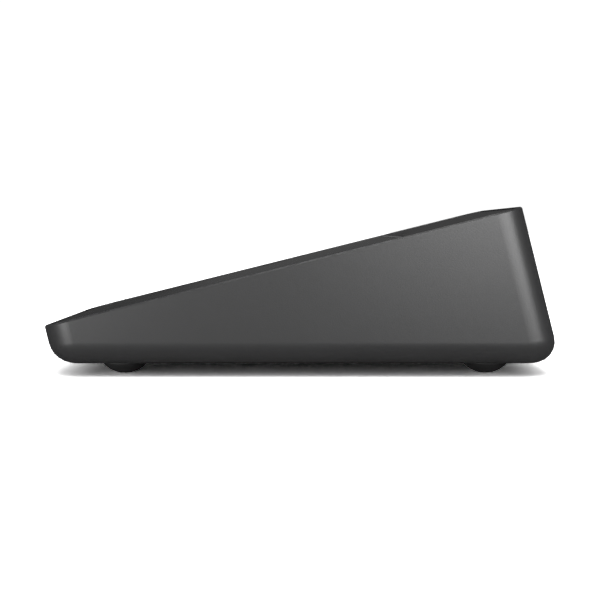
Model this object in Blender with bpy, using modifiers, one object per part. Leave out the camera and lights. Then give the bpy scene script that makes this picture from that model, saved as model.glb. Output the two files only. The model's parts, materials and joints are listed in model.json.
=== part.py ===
"""Card payment terminal: a wedge housing with a display, a receipt printer and a card reader.

Units are metres and +Z is up. The front of the terminal faces -Y. Two empties carry the pieces:
base_frame stands under the front edge with level axes, and top_frame lies in the sloping top
plane. In top_frame, x runs across, y runs from the front edge to the rear edge (called u here)
and z points out of the top (called n here), so everything inside lies at a negative n.
"""

import math

import bmesh
import bpy
from mathutils import Matrix, Vector

# Driving dimensions of the body
SLOPE = math.radians(14.0)
WIDTH = 0.0860
TOP_LENGTH = 0.1855
FRONT_HEIGHT = 0.0140
CORNER_RADIUS = 0.0125
BOTTOM_EDGE = 0.0090
FRONT_BOTTOM_EDGE = 0.0099
REAR_BOTTOM_EDGE = 0.0079
WALL = 0.0024
RIM = 0.0015
RIM_CHAMFER = 0.0005
GAP = 0.0003
SAME = 0.000001
RECESS_TOP = 0.0002

# Feet
FOOT_HEIGHT = 0.0046
FOOT_RADIUS = 0.0090
FOOT_DOME = 0.0112
FOOT_FLAT = 0.0030
FOOT_SEAT = 0.0006
FOOT_INSET_X = 0.0185
FOOT_FRONT_Y = 0.0291
FOOT_REAR_INSET = 0.0250

# Display stack
GLASS_THICKNESS = 0.0011
PANEL_THICKNESS = 0.0022
PANEL_MARGIN_X = 0.0075
PANEL_FRONT = 0.0055
PANEL_REAR_MARGIN = 0.0045
FLANGE_THICKNESS = 0.0015
FRAME_DEPTH = 0.0037
FRAME_SKIRT_INSET = 0.0030
ANTENNA_BAND = 0.0040
ANTENNA_THICKNESS = 0.0003

# Printer
PAPER_WIDTH = 0.0575
ROLL_RADIUS = 0.0200
ROLL_DEPTH = 0.0270
CORE_RADIUS = 0.0062
CORE_WALL = 0.0011
TUB_CLEARANCE = 0.0005
TUB_WALL = 0.0012
TUB_REAR_GAP = 0.0010
SIDE_PLATE_INNER = 0.0330
SIDE_PLATE = 0.0020
COVER_THICKNESS = 0.0023
COVER_REAR_GAP = 0.0005
COVER_EDGE_ROUND = 0.0016
HINGE_INSET = 0.0075
HINGE_DEPTH = 0.0032
HINGE_PIN_RADIUS = 0.0010
KNUCKLE_RADIUS = 0.0023
TONGUE_HALF_WIDTH = 0.0326
TONGUE_START_INSET = 0.0142
BLOCK_GAP = 0.0007
BLOCK_EDGE_ROUND = 0.0009
PLATEN_INSET = 0.0414
PLATEN_DEPTH = 0.0080
PLATEN_RADIUS = 0.0040
SHAFT_RADIUS = 0.0015
HEAD_GAP = 0.0005
HEAD_THICKNESS = 0.0013
HEAD_HEIGHT = 0.0107
HEAD_TOP_DEPTH = 0.0063
SINK_THICKNESS = 0.0035

# Gear train
GEAR_MODULE = 0.0005
GEAR_WIDTH = 0.0020
GEAR_SLACK = 0.00015
PLATEN_TEETH = 16
IDLER_TEETH = 24
PINION_TEETH = 12
FIRST_IDLER_ANGLE = math.radians(-84.3)
SECOND_IDLER_ANGLE = math.radians(-168.1)
PINION_ANGLE = math.radians(164.7)
STUD_RADIUS = 0.0012
MOTOR_RADIUS = 0.0075
MOTOR_LENGTH = 0.0130

SAW_PITCH = 0.0016
SAW_DEPTH = 0.0005
TEAR_BAR_DEPTH = 0.0032
SCOOP_DEPTH = 0.0012
SCOOP_RADIUS = 0.0160
SCOOP_STRETCH = 1.8

# Card reader
CARD_SLOT_WIDTH = 0.0548
CARD_SLOT_HEIGHT = 0.0012
BEZEL_MARGIN = 0.0022
BEZEL_HALF_HEIGHT = 0.0018
BEZEL_FLARE = 0.0003
CARD_PLANE_DEPTH = 0.0083
READER_WIDTH = 0.0570
READER_FRONT = 0.0046
READER_LENGTH = 0.0454
READER_HEIGHT = 0.0038

# Electronics
BOARD_THICKNESS = 0.0012
MAIN_BOARD_DEPTH = 0.0074
MAIN_BOARD_HALF_WIDTH = 0.0270
MAIN_BOARD_START = 0.0560
MAIN_BOARD_END = 0.1140
BATTERY_WIDTH = 0.0375
BATTERY_LENGTH = 0.0670
BATTERY_HEIGHT = 0.0180
BATTERY_FRONT = 0.0700
DOOR_THICKNESS = 0.0010
DOOR_SCREW_INSET = 0.0070
SPEAKER_RADIUS = 0.0095
SPEAKER_HEIGHT = 0.0045
SPEAKER_Y = 0.0540
BUTTON_U = 0.1000
BUTTON_DEPTH = 0.0120
BUTTON_LENGTH = 0.0120
BUTTON_HEIGHT = 0.0036
BUTTON_TRAVEL = 0.0008
BUTTON_FLANGE = 0.0010
BUTTON_PLAY = 0.00015
SWITCH_BOARD = 0.0010
SWITCH_DOME = 0.0012
SWITCH_DOME_HALF = 0.0022
PORT_DEPTH = 0.0470
PORT_WIDTH = 0.0090
PORT_HEIGHT = 0.0033
PORT_LENGTH = 0.0075
PORT_ROUND = 0.0014
PORT_SHELL = 0.0003
PORT_BOARD_HALF = 0.0120

# Fasteners
POST_RADIUS = 0.0020
HINGE_PIN_HALF = 0.0367
PIN_CLEARANCE = 0.0002
SCREW_INSET_X = 0.0110
SCREW_FRONT_Y = 0.0460
SCREW_REAR_Y = 0.1810
SCREW_BOSS_RADIUS = 0.0042
SCREW_BOSS_HEIGHT = 0.0039
SCREW_HEAD_RADIUS = 0.0024
SCREW_HEAD_HEIGHT = 0.0014
SCREW_SHANK_RADIUS = 0.0011
SCREW_SHANK_LENGTH = 0.0085
SCREW_POST_RADIUS = 0.0028
SCREW_RECESS_DEPTH = 0.0030

BOTTOM_STEPS = 6
SIDES_LARGE = 28
SIDES_SMALL = 12

# Places that follow from the driving dimensions
COS, SIN, TAN = math.cos(SLOPE), math.sin(SLOPE), math.tan(SLOPE)
HALF_WIDTH = WIDTH / 2
REAR_DROP = (FRONT_HEIGHT + TOP_LENGTH * SIN) / COS
REAR_BULGE = REAR_BOTTOM_EDGE * ((1 + SIN) / COS - 1)
BODY_LENGTH = TOP_LENGTH * COS + REAR_DROP * SIN - REAR_BULGE
FRONT_Y = -(BODY_LENGTH + RIM_CHAMFER * SIN) / 2
FLOOR_Z = FOOT_HEIGHT + WALL
DOWN = Vector((0, -SIN, -COS))
OPEN_TOP = 0.010
BAY_LAP = 0.001
HOUSING_INNER_X = HALF_WIDTH - WALL
BAY_FLOOR_N = -(RECESS_TOP + GLASS_THICKNESS + GAP + FLANGE_THICKNESS + GAP)
SPLIT_U = TOP_LENGTH - 0.0464
GLASS_END_U = SPLIT_U - 0.0021
COVER_FRONT_U = SPLIT_U + 0.0002
PAPER_EXIT_U = COVER_FRONT_U + 0.0011
COVER_REAR_U = TOP_LENGTH - RIM - COVER_REAR_GAP
TONGUE_START_U = TOP_LENGTH - TONGUE_START_INSET
HINGE = (TOP_LENGTH - HINGE_INSET, -HINGE_DEPTH)
PLATEN = (TOP_LENGTH - PLATEN_INSET, -PLATEN_DEPTH)
ROLL_HALF_WIDTH = PAPER_WIDTH / 2
TUB_RADIUS = ROLL_RADIUS + TUB_CLEARANCE
TUB_OUTER_RADIUS = TUB_RADIUS + TUB_WALL
TUB_HALF_WIDTH = ROLL_HALF_WIDTH + 0.00065
ROLL = (TOP_LENGTH - WALL - TUB_REAR_GAP - TUB_OUTER_RADIUS, -ROLL_DEPTH)
SIDE_PLATE_OUTER = SIDE_PLATE_INNER + SIDE_PLATE
GEAR_X = SIDE_PLATE_OUTER + 0.0006
CHEEK_X = (ROLL_HALF_WIDTH + 0.00105, ROLL_HALF_WIDTH + 0.00305)
FRAME_TOP_N = -(RECESS_TOP + GLASS_THICKNESS + GAP)
FRAME_BOTTOM_N = FRAME_TOP_N - FRAME_DEPTH
SCREW_X = HALF_WIDTH - SCREW_INSET_X
BATTERY_REAR = BATTERY_FRONT + BATTERY_LENGTH
SCREW_TOP_Z = FOOT_HEIGHT + SCREW_RECESS_DEPTH - GAP + SCREW_SHANK_LENGTH

for stale in list(bpy.data.objects):
    bpy.data.objects.remove(stale)
parts = bpy.data.collections.new("card_payment_terminal")
cutters = bpy.data.collections.new("cutters")
for group in (parts, cutters):
    bpy.context.scene.collection.children.link(group)


def frame_empty(name, location, tilt):
    """An empty that carries the pieces laid out in its axes."""
    empty = bpy.data.objects.new(name, None)
    parts.objects.link(empty)
    empty.location = location
    empty.rotation_euler = (tilt, 0, 0)
    return empty


base_frame = frame_empty("base_frame", (0, FRONT_Y, 0), 0)
top_frame = frame_empty("top_frame", (0, FRONT_Y, FOOT_HEIGHT + FRONT_HEIGHT), SLOPE)


def material(name, colour, roughness, metallic=0.0):
    """A Principled material."""
    made = bpy.data.materials.new(name)
    made.use_nodes = True
    shader = made.node_tree.nodes["Principled BSDF"]
    shader.inputs["Base Color"].default_value = (*colour, 1)
    shader.inputs["Roughness"].default_value = roughness
    shader.inputs["Metallic"].default_value = metallic
    return made


HOUSING_GREY = ((0.075, 0.075, 0.077), 0.55)
DARK_PLASTIC = ((0.03, 0.03, 0.032), 0.5)
BLACK_GLASS = ((0.005, 0.005, 0.006), 0.08)
BLACK_RUBBER = ((0.015, 0.015, 0.015), 0.8)
STEEL = ((0.62, 0.62, 0.63), 0.3, 1.0)
ALUMINIUM = ((0.75, 0.76, 0.77), 0.35, 1.0)
WHITE_NYLON = ((0.82, 0.81, 0.77), 0.45)
PAPER = ((0.9, 0.9, 0.88), 0.85)
CARD_BOARD = ((0.45, 0.33, 0.22), 0.9)
CIRCUIT_GREEN = ((0.02, 0.16, 0.07), 0.45)
AMBER_FILM = ((0.6, 0.28, 0.05), 0.4)
BATTERY_BLUE = ((0.05, 0.12, 0.3), 0.45)


# ---- mesh tools -------------------------------------------------------------------------------
def place(name, bm, frame, finish, origin=(0, 0, 0), group=None):
    """Turns a bmesh drawn in a frame's axes into an object whose origin is the given point."""
    bmesh.ops.translate(bm, verts=bm.verts, vec=-Vector(origin))
    mesh = bpy.data.meshes.new(name)
    bm.to_mesh(mesh)
    bm.free()
    mesh.shade_smooth()
    mesh.set_sharp_from_angle(angle=math.radians(30))
    made = bpy.data.objects.new(name, mesh)
    (group or parts).objects.link(made)
    made.parent = frame
    made.location = origin
    if finish:
        mesh.materials.append(material(name, *finish))
    return made


def combine(target, name, bm, operation, frame):
    """Joins or cuts a shape into an object by a Boolean modifier, and keeps the shape as a tool."""
    tool = place(name, bm, frame, None, group=cutters)
    tool.hide_render = True
    tool.display_type = "WIRE"
    step = target.modifiers.new(name, "BOOLEAN")
    step.operation = operation
    step.solver = "EXACT"
    step.object = tool


def box(low, high, bm=None):
    """A box between two corners, added to a bmesh."""
    bm = bm or bmesh.new()
    low, high = Vector(low), Vector(high)
    matrix = Matrix.Translation((low + high) / 2) @ Matrix.Diagonal((*(high - low), 1))
    bmesh.ops.create_cube(bm, size=1, matrix=matrix)
    return bm


def rod(start, end, radius, bm=None, sides=SIDES_SMALL, end_radius=None):
    """A cylinder or cone between two points, added to a bmesh."""
    bm = bm or bmesh.new()
    start, end = Vector(start), Vector(end)
    axis = end - start
    matrix = Matrix.Translation((start + end) / 2) @ axis.to_track_quat("Z", "Y").to_matrix().to_4x4()
    bmesh.ops.create_cone(bm, cap_ends=True, segments=sides, radius1=radius,
                          radius2=radius if end_radius is None else end_radius,
                          depth=axis.length, matrix=matrix)
    return bm


def cross_rod(low_x, high_x, centre, radius, bm=None, sides=SIDES_SMALL):
    """A cylinder along x about a (u, n) point."""
    return rod((low_x, *centre), (high_x, *centre), radius, bm, sides)


def plate(outlines, low, high, across=False):
    """A flat outline, with holes where more than one is given, made into a plate.

    It spans low to high along n, or along x when across is set, with the outline in (u, n).
    """
    curve = bpy.data.curves.new("outline", "CURVE")
    curve.dimensions = "2D"
    curve.fill_mode = "BOTH"
    curve.extrude = (high - low) / 2
    for outline in outlines:
        spline = curve.splines.new("POLY")
        spline.points.add(len(outline) - 1)
        for point, place_2d in zip(spline.points, outline):
            point.co = (*place_2d, 0, 1)
        spline.use_cyclic_u = True
    holder = bpy.data.objects.new("outline", curve)
    bpy.context.scene.collection.objects.link(holder)
    graph = bpy.context.evaluated_depsgraph_get()
    mesh = bpy.data.meshes.new_from_object(holder.evaluated_get(graph))
    bm = bmesh.new()
    bm.from_mesh(mesh)
    bpy.data.objects.remove(holder)
    bpy.data.curves.remove(curve)
    bpy.data.meshes.remove(mesh)
    bmesh.ops.remove_doubles(bm, verts=bm.verts, dist=SAME)
    bmesh.ops.translate(bm, verts=bm.verts, vec=(0, 0, (low + high) / 2))
    if across:
        turn = Matrix(((0, 0, 1), (1, 0, 0), (0, 1, 0))).to_4x4()
        bmesh.ops.transform(bm, matrix=turn, verts=bm.verts)
    bmesh.ops.recalc_face_normals(bm, faces=bm.faces)
    return bm


def arc(centre, radius, start, end, steps):
    """Points along an arc, from one angle to another in degrees."""
    angles = [math.radians(start + (end - start) * i / steps) for i in range(steps + 1)]
    return [(centre[0] + radius * math.cos(a), centre[1] + radius * math.sin(a)) for a in angles]


def rounded(half_width, low_u, high_u, front_radius, rear_radius, steps=7):
    """A rectangle symmetric in x with its own corner radius at the front and at the rear."""
    points = []
    for sx, sy, radius, start in ((1, 1, rear_radius, 0), (-1, 1, rear_radius, 90),
                                  (-1, -1, front_radius, 180), (1, -1, front_radius, 270)):
        corner = (sx * (half_width - radius), (high_u - radius) if sy > 0 else (low_u + radius))
        points += arc(corner, radius, start, start + 90, steps) if radius > 0 else [corner]
    return points


def body_outline(inset, low_u=None, high_u=None):
    """The plan of the body moved in by an inset, square at an end that is cut short."""
    radius = CORNER_RADIUS - inset
    return rounded(HALF_WIDTH - inset, inset if low_u is None else low_u,
                   TOP_LENGTH - inset if high_u is None else high_u,
                   radius if low_u is None else 0, radius if high_u is None else 0)


def wedge(inset, top_n, floor_z, edge_steps):
    """A body-shaped prism closed by a level floor, with a rounded edge between wall and floor."""
    bm = bmesh.new()
    depth = FRONT_HEIGHT + FOOT_HEIGHT - floor_z
    corner_x = HALF_WIDTH - CORNER_RADIUS
    rings = [[] for _ in range(edge_steps + 2)]
    for x, u in body_outline(inset):
        corner = Vector((max(-corner_x, min(x, corner_x)),
                         max(CORNER_RADIUS, min(u, TOP_LENGTH - CORNER_RADIUS)), 0))
        outward = (Vector((x, u, 0)) - corner).normalized()
        radius = bottom_edge(outward) - inset
        centre = Vector((x, u, 0)) - outward * radius
        centre.z = -(depth - radius + centre.y * SIN) / COS
        swing = outward.angle(DOWN)
        rings[0].append(bm.verts.new((x, u, top_n)))
        for i in range(edge_steps + 1):
            turn = swing * i / edge_steps
            toward = (outward * math.sin(swing - turn) + DOWN * math.sin(turn)) / math.sin(swing)
            rings[i + 1].append(bm.verts.new(centre + toward * radius))
    bm.faces.new(rings[0])
    bm.faces.new(rings[-1])
    for upper, lower in zip(rings, rings[1:]):
        for i in range(len(upper)):
            bm.faces.new((upper[i - 1], upper[i], lower[i], lower[i - 1]))
    bmesh.ops.recalc_face_normals(bm, faces=bm.faces)
    return bm


def bottom_edge(outward):
    """The bottom edge's radius for a wall that faces this way: widest in front, tightest behind."""
    end = REAR_BOTTOM_EDGE if outward.y > 0 else FRONT_BOTTOM_EDGE
    return BOTTOM_EDGE + (end - BOTTOM_EDGE) * outward.y ** 2


def floor_n(u, z=FLOOR_Z):
    """How deep a level plane lies under the top plane, at a place along it."""
    return -(FRONT_HEIGHT + FOOT_HEIGHT - z) / COS - u * TAN


def turned(profile, sides):
    """A turned piece about z, from a profile of (radius, height) that starts and ends on the axis."""
    mesh = bpy.data.meshes.new("profile")
    mesh.from_pydata([(r, 0, z) for r, z in profile], [(i, i + 1) for i in range(len(profile) - 1)], [])
    holder = bpy.data.objects.new("profile", mesh)
    bpy.context.scene.collection.objects.link(holder)
    spin = holder.modifiers.new("turn", "SCREW")
    spin.steps = sides
    spin.render_steps = sides
    spin.use_merge_vertices = True
    spin.merge_threshold = 1e-5
    graph = bpy.context.evaluated_depsgraph_get()
    result = bpy.data.meshes.new_from_object(holder.evaluated_get(graph))
    bm = bmesh.new()
    bm.from_mesh(result)
    bpy.data.objects.remove(holder)
    for used in (mesh, result):
        bpy.data.meshes.remove(used)
    bmesh.ops.remove_doubles(bm, verts=bm.verts, dist=SAME)
    bmesh.ops.recalc_face_normals(bm, faces=bm.faces)
    return bm


def both_sides(x):
    """A distance on the left and on the right of the middle."""
    return (-x, x)


# ---- housing ----------------------------------------------------------------------------------
def housing():
    """The deep one-piece body with its bays, posts, bosses, ribs and holes."""
    bm = wedge(0, 0, FOOT_HEIGHT, BOTTOM_STEPS)
    top = [e for e in bm.edges if all(abs(v.co.z) < SAME for v in e.verts) and e.calc_face_angle(0) > 0.5]
    bmesh.ops.bevel(bm, geom=top, offset=RIM_CHAMFER, offset_type="OFFSET", segments=1,
                    affect="EDGES", clamp_overlap=False)
    body = place("housing", bm, top_frame, HOUSING_GREY)
    hollow = wedge(WALL, BAY_FLOOR_N + BAY_LAP, FLOOR_Z, BOTTOM_STEPS - 1)
    combine(body, "hollow", hollow, "DIFFERENCE", top_frame)
    combine(body, "glass_bay", plate([body_outline(RIM)], BAY_FLOOR_N, OPEN_TOP), "DIFFERENCE", top_frame)
    cover_bay = plate([body_outline(RIM + 0.0001, low_u=SPLIT_U)], -0.010, BAY_FLOOR_N + BAY_LAP)
    combine(body, "cover_bay", cover_bay, "DIFFERENCE", top_frame)
    for x_sign, side in ((1, "right"), (-1, "left")):
        combine(body, f"hinge_block_{side}", hinge_block(x_sign), "UNION", top_frame)
    combine(body, "posts", housing_posts(), "UNION", top_frame)
    combine(body, "bosses", housing_bosses(), "UNION", base_frame)
    combine(body, "battery_walls", battery_walls(), "UNION", base_frame)
    combine(body, "switch_ribs", switch_ribs(), "UNION", top_frame)
    combine(body, "slanted_holes", slanted_holes(), "DIFFERENCE", top_frame)
    combine(body, "level_holes", level_holes(), "DIFFERENCE", base_frame)
    door_recess = plate([door_outline(GAP)], 0, FOOT_HEIGHT + DOOR_THICKNESS + GAP)
    combine(body, "door_recess", door_recess, "DIFFERENCE", base_frame)
    combine(body, "level_bores", level_bores(), "DIFFERENCE", base_frame)


def hinge_block(x_sign):
    """The fixed corner beside the cover's tongue, which holds one end of the hinge pin."""
    inset = RIM * 2 / 3
    centre = (HALF_WIDTH - CORNER_RADIUS, TOP_LENGTH - CORNER_RADIUS)
    radius = CORNER_RADIUS - inset
    inner_x = TONGUE_HALF_WIDTH + 0.0004
    last = math.degrees(math.acos((inner_x - centre[0]) / radius))
    front_u = TONGUE_START_U + BLOCK_GAP
    outline = [(inner_x, front_u), (HALF_WIDTH - inset, front_u), *arc(centre, radius, 0, last, 6)]
    if x_sign < 0:
        outline = [(-x, u) for x, u in reversed(outline)]
    bm = plate([outline], -0.0070, -RECESS_TOP)
    edge = [e for e in bm.edges
            if all(v.co.y < front_u + SAME and v.co.z > -RECESS_TOP - SAME for v in e.verts)]
    bmesh.ops.bevel(bm, geom=edge, offset=BLOCK_EDGE_ROUND, offset_type="OFFSET", segments=3,
                    profile=0.5, affect="EDGES")
    return bm


def housing_posts():
    """Posts square to the top plane, from the floor up to the boards and the card reader."""
    bm = bmesh.new()
    root = WALL / 2
    for x in both_sides(READER_WIDTH / 2 - 0.0021):
        for u in (READER_FRONT + 0.0094, READER_FRONT + READER_LENGTH - 0.0050):
            top = -CARD_PLANE_DEPTH - READER_HEIGHT / 2 - GAP
            rod((x, u, floor_n(u) - root), (x, u, top), POST_RADIUS, bm, 12)
    for x in both_sides(MAIN_BOARD_HALF_WIDTH - POST_RADIUS):
        for u in (MAIN_BOARD_START + 0.003, MAIN_BOARD_END - 0.003):
            top = -MAIN_BOARD_DEPTH - BOARD_THICKNESS - GAP
            rod((x, u, floor_n(u) - root), (x, u, top), POST_RADIUS, bm, 12)
    for x in both_sides(0.009):
        u = TOP_LENGTH - 0.0155
        top = -PORT_DEPTH - PORT_HEIGHT / 2 - GAP - BOARD_THICKNESS - GAP
        rod((x, u, floor_n(u) - root), (x, u, top), POST_RADIUS, bm, 12)
    return bm


def screw_places():
    """Where the four housing screws enter from below."""
    return [(x, y) for y in (SCREW_FRONT_Y, SCREW_REAR_Y) for x in both_sides(SCREW_X)]


def housing_bosses():
    """Low bosses on the floor round each screw, and one for the battery door's screw."""
    bm = bmesh.new()
    for x, y in screw_places():
        rod((x, y, FLOOR_Z - WALL / 2), (x, y, FLOOR_Z + SCREW_BOSS_HEIGHT - GAP),
            SCREW_BOSS_RADIUS, bm, 16)
    door_y = BATTERY_REAR + DOOR_SCREW_INSET
    rod((0, door_y, FLOOR_Z - WALL / 2), (0, door_y, FLOOR_Z + 0.006), 0.0030, bm)
    return bm


def battery_walls():
    """The low walls that keep the battery in place on the floor."""
    inner_x = BATTERY_WIDTH / 2 + 0.0006
    low, high = FLOOR_Z - WALL / 4, FLOOR_Z + 0.007
    bm = plate([rounded(inner_x + 0.0014, BATTERY_FRONT - 0.0018, BATTERY_REAR + 0.0018, 0, 0),
                rounded(inner_x, BATTERY_FRONT - 0.0004, BATTERY_REAR + 0.0004, 0, 0)], low, high)
    return bm


def switch_ribs():
    """Two ribs on the left wall that hold the edge of the power switch's board."""
    bm = bmesh.new()
    for u in (BUTTON_U - 0.0083, BUTTON_U + 0.0063):
        box((-HOUSING_INNER_X - WALL / 2, u, -BUTTON_DEPTH - 0.006),
            (-HOUSING_INNER_X + 0.0055, u + 0.0020, -BUTTON_DEPTH + 0.005), bm)
    return bm


def slanted_holes():
    """Card slot, power button, charging port and hinge pin holes."""
    slot_n = -CARD_PLANE_DEPTH
    bm = box((-CARD_SLOT_WIDTH / 2 - BEZEL_MARGIN, -0.002, slot_n - BEZEL_HALF_HEIGHT),
             (CARD_SLOT_WIDTH / 2 + BEZEL_MARGIN, WALL + 0.002, slot_n + BEZEL_HALF_HEIGHT))
    box((-HALF_WIDTH - 0.002, BUTTON_U - BUTTON_LENGTH / 2 - GAP, -BUTTON_DEPTH - BUTTON_HEIGHT / 2 - GAP),
        (-HOUSING_INNER_X + 0.0004, BUTTON_U + BUTTON_LENGTH / 2 + GAP,
         -BUTTON_DEPTH + BUTTON_HEIGHT / 2 + GAP), bm)
    port = [(x, n - PORT_DEPTH) for x, n in rounded(PORT_WIDTH / 2 + GAP, -PORT_HEIGHT / 2 - GAP,
                                                    PORT_HEIGHT / 2 + GAP, PORT_ROUND, PORT_ROUND, 4)]
    port_hole = plate([port], -TOP_LENGTH - 0.010, -TOP_LENGTH + WALL + 0.002)
    bmesh.ops.rotate(port_hole, verts=port_hole.verts, matrix=Matrix.Rotation(math.pi / 2, 3, "X"))
    merge(bm, port_hole)
    for x_sign in (-1, 1):
        cross_rod(*sorted((x_sign * (TONGUE_HALF_WIDTH - 0.001), x_sign * (HINGE_PIN_HALF + GAP))), HINGE,
                  HINGE_PIN_RADIUS + PIN_CLEARANCE, bm)
    return bm


def merge(bm, other):
    """Adds one bmesh to another."""
    mesh = bpy.data.meshes.new("merged")
    other.to_mesh(mesh)
    other.free()
    bm.from_mesh(mesh)
    bpy.data.meshes.remove(mesh)


def level_holes():
    """The battery opening, the foot recesses, the speaker holes and the screws' recesses."""
    bm = box((-BATTERY_WIDTH / 2 - 0.0005, BATTERY_FRONT - 0.0008, 0),
             (BATTERY_WIDTH / 2 + 0.0005, BATTERY_REAR + 0.0008, FLOOR_Z + 0.002))
    for x, y in foot_places():
        rod((x, y, 0), (x, y, FOOT_HEIGHT + FOOT_SEAT), FOOT_RADIUS + GAP, bm, SIDES_LARGE)
    for x, y in screw_places():
        rod((x, y, 0), (x, y, FOOT_HEIGHT + SCREW_RECESS_DEPTH), SCREW_HEAD_RADIUS + 0.0005, bm, 16)
    for x, y in [(0, 0)] + arc((0, 0), 0.0040, 0, 300, 5):
        rod((x, SPEAKER_Y + y, 0), (x, SPEAKER_Y + y, FLOOR_Z + 0.001), 0.0009, bm, 8)
    return bm


def level_bores():
    """The screws' narrow bores."""
    bm = bmesh.new()
    for x, y in screw_places():
        rod((x, y, FOOT_HEIGHT), (x, y, SCREW_TOP_Z), SCREW_SHANK_RADIUS + GAP, bm)
    door_y = BATTERY_REAR + DOOR_SCREW_INSET
    rod((0, door_y, FOOT_HEIGHT + 0.0010), (0, door_y, FLOOR_Z + 0.0050), 0.0012, bm)
    return bm


def foot_places():
    """The centres of the four feet."""
    rear_y = BODY_LENGTH - FOOT_REAR_INSET
    return [(x, y) for y in (FOOT_FRONT_Y, rear_y) for x in both_sides(HALF_WIDTH - FOOT_INSET_X)]


def feet():
    """Four domed rubber feet, flat where they stand."""
    centre_z = math.sqrt(FOOT_DOME ** 2 - FOOT_FLAT ** 2)
    first = math.asin(FOOT_FLAT / FOOT_DOME)
    last = math.asin(FOOT_RADIUS / FOOT_DOME)
    steps = 5
    top = FOOT_HEIGHT + FOOT_SEAT - GAP
    profile = [(0, top), (FOOT_RADIUS, top)]
    for i in range(steps + 1):
        angle = last + (first - last) * i / steps
        profile.append((FOOT_DOME * math.sin(angle), centre_z - FOOT_DOME * math.cos(angle)))
    profile.append((0, 0))
    names = ("foot_front_left", "foot_front_right", "foot_rear_left", "foot_rear_right")
    for name, (x, y) in zip(names, foot_places()):
        made = place(name, turned(profile, SIDES_LARGE), base_frame, BLACK_RUBBER)
        made.location = (x, y, 0)


def screw(name, frame, location, head_radius, head_height, shank_radius, shank_length, finish, flip=False):
    """A pan-head screw whose shank points along +z of its frame, or along -z when flipped."""
    profile = [(0, shank_length), (shank_radius, shank_length), (shank_radius, 0), (head_radius, 0),
               (head_radius, -head_height * 0.6), (head_radius * 0.8, -head_height), (0, -head_height)]
    bm = turned(profile, SIDES_SMALL)
    if flip:
        bmesh.ops.rotate(bm, verts=bm.verts, matrix=Matrix.Rotation(math.pi, 3, "X"))
    made = place(name, bm, frame, finish)
    made.location = location


def housing_screws():
    """The screws that hold the display frame and the printer down to the housing."""
    names = ("housing_screw_front_left", "housing_screw_front_right",
             "housing_screw_rear_left", "housing_screw_rear_right")
    for name, (x, y) in zip(names, screw_places()):
        head_top = FOOT_HEIGHT + SCREW_RECESS_DEPTH - GAP
        screw(name, base_frame, (x, y, head_top), SCREW_HEAD_RADIUS, SCREW_HEAD_HEIGHT,
              SCREW_SHANK_RADIUS, SCREW_SHANK_LENGTH, STEEL)


# ---- display ----------------------------------------------------------------------------------
def cover_glass():
    """The glass that covers the display from the front edge to the printer."""
    outline = body_outline(RIM + GAP, high_u=GLASS_END_U)
    sheet = plate([outline], -RECESS_TOP - GLASS_THICKNESS, -RECESS_TOP)
    place("cover_glass", sheet, top_frame, BLACK_GLASS)


def panel_span():
    """The display panel's half width and its ends along u."""
    return (HALF_WIDTH - PANEL_MARGIN_X, PANEL_FRONT, GLASS_END_U - PANEL_REAR_MARGIN)


def display_panel():
    """The liquid crystal panel under the glass."""
    half, low_u, high_u = panel_span()
    top = FRAME_TOP_N
    bm = box((-half, low_u, top - PANEL_THICKNESS), (half, high_u, top))
    place("display_panel", bm, top_frame, BLACK_GLASS)


def display_frame():
    """The tray that carries the panel and the glass, with two posts down to the housing."""
    top = FRAME_TOP_N
    flange = plate([body_outline(RIM + GAP, high_u=GLASS_END_U)], top - FLANGE_THICKNESS, top)
    tray = place("display_frame", flange, top_frame, DARK_PLASTIC)
    inset = FRAME_SKIRT_INSET
    skirt = plate([body_outline(inset, high_u=GLASS_END_U - 0.001)],
                  FRAME_BOTTOM_N, top - FLANGE_THICKNESS / 2)
    combine(tray, "frame_skirt", skirt, "UNION", top_frame)
    bm = bmesh.new()
    for x in both_sides(SCREW_X):
        rise = FOOT_HEIGHT + FRONT_HEIGHT + SCREW_FRONT_Y * TAN + (FRAME_BOTTOM_N + 0.0006) / COS
        rod((x, SCREW_FRONT_Y, FLOOR_Z + SCREW_BOSS_HEIGHT), (x, SCREW_FRONT_Y, rise),
            SCREW_POST_RADIUS, bm)
    combine(tray, "frame_posts", bm, "UNION", base_frame)
    half, low_u, high_u = panel_span()
    pocket = box((-half - GAP, low_u - GAP, top - PANEL_THICKNESS - GAP), (half + GAP, high_u + GAP, 0.001))
    combine(tray, "frame_pocket", pocket, "DIFFERENCE", top_frame)
    windows = box((-0.0210, GLASS_END_U - 0.0042, -0.010), (-0.0070, GLASS_END_U - 0.0017, 0.001))
    for low_x in (-0.030, 0.004):
        box((low_x, 0.062, -0.010), (low_x + 0.026, 0.104, FRAME_TOP_N - PANEL_THICKNESS), windows)
    combine(tray, "frame_windows", windows, "DIFFERENCE", top_frame)
    bm = bmesh.new()
    for x in both_sides(SCREW_X):
        rod((x, SCREW_FRONT_Y, 0), (x, SCREW_FRONT_Y, SCREW_TOP_Z + GAP), SCREW_SHANK_RADIUS + GAP, bm)
    combine(tray, "frame_bores", bm, "DIFFERENCE", base_frame)


def ribbon(path, thickness, low_x, high_x):
    """A flat cable: a strip of even thickness along a path in (u, n)."""
    left, right = [], []
    for i, point in enumerate(path):
        before, after = path[max(i - 1, 0)], path[min(i + 1, len(path) - 1)]
        along = Vector((after[0] - before[0], after[1] - before[1])).normalized()
        side = Vector((-along.y, along.x)) * thickness / 2
        left.append((point[0] + side.x, point[1] + side.y))
        right.append((point[0] - side.x, point[1] - side.y))
    return plate([left + right[::-1]], low_x, high_x, across=True)


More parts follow.
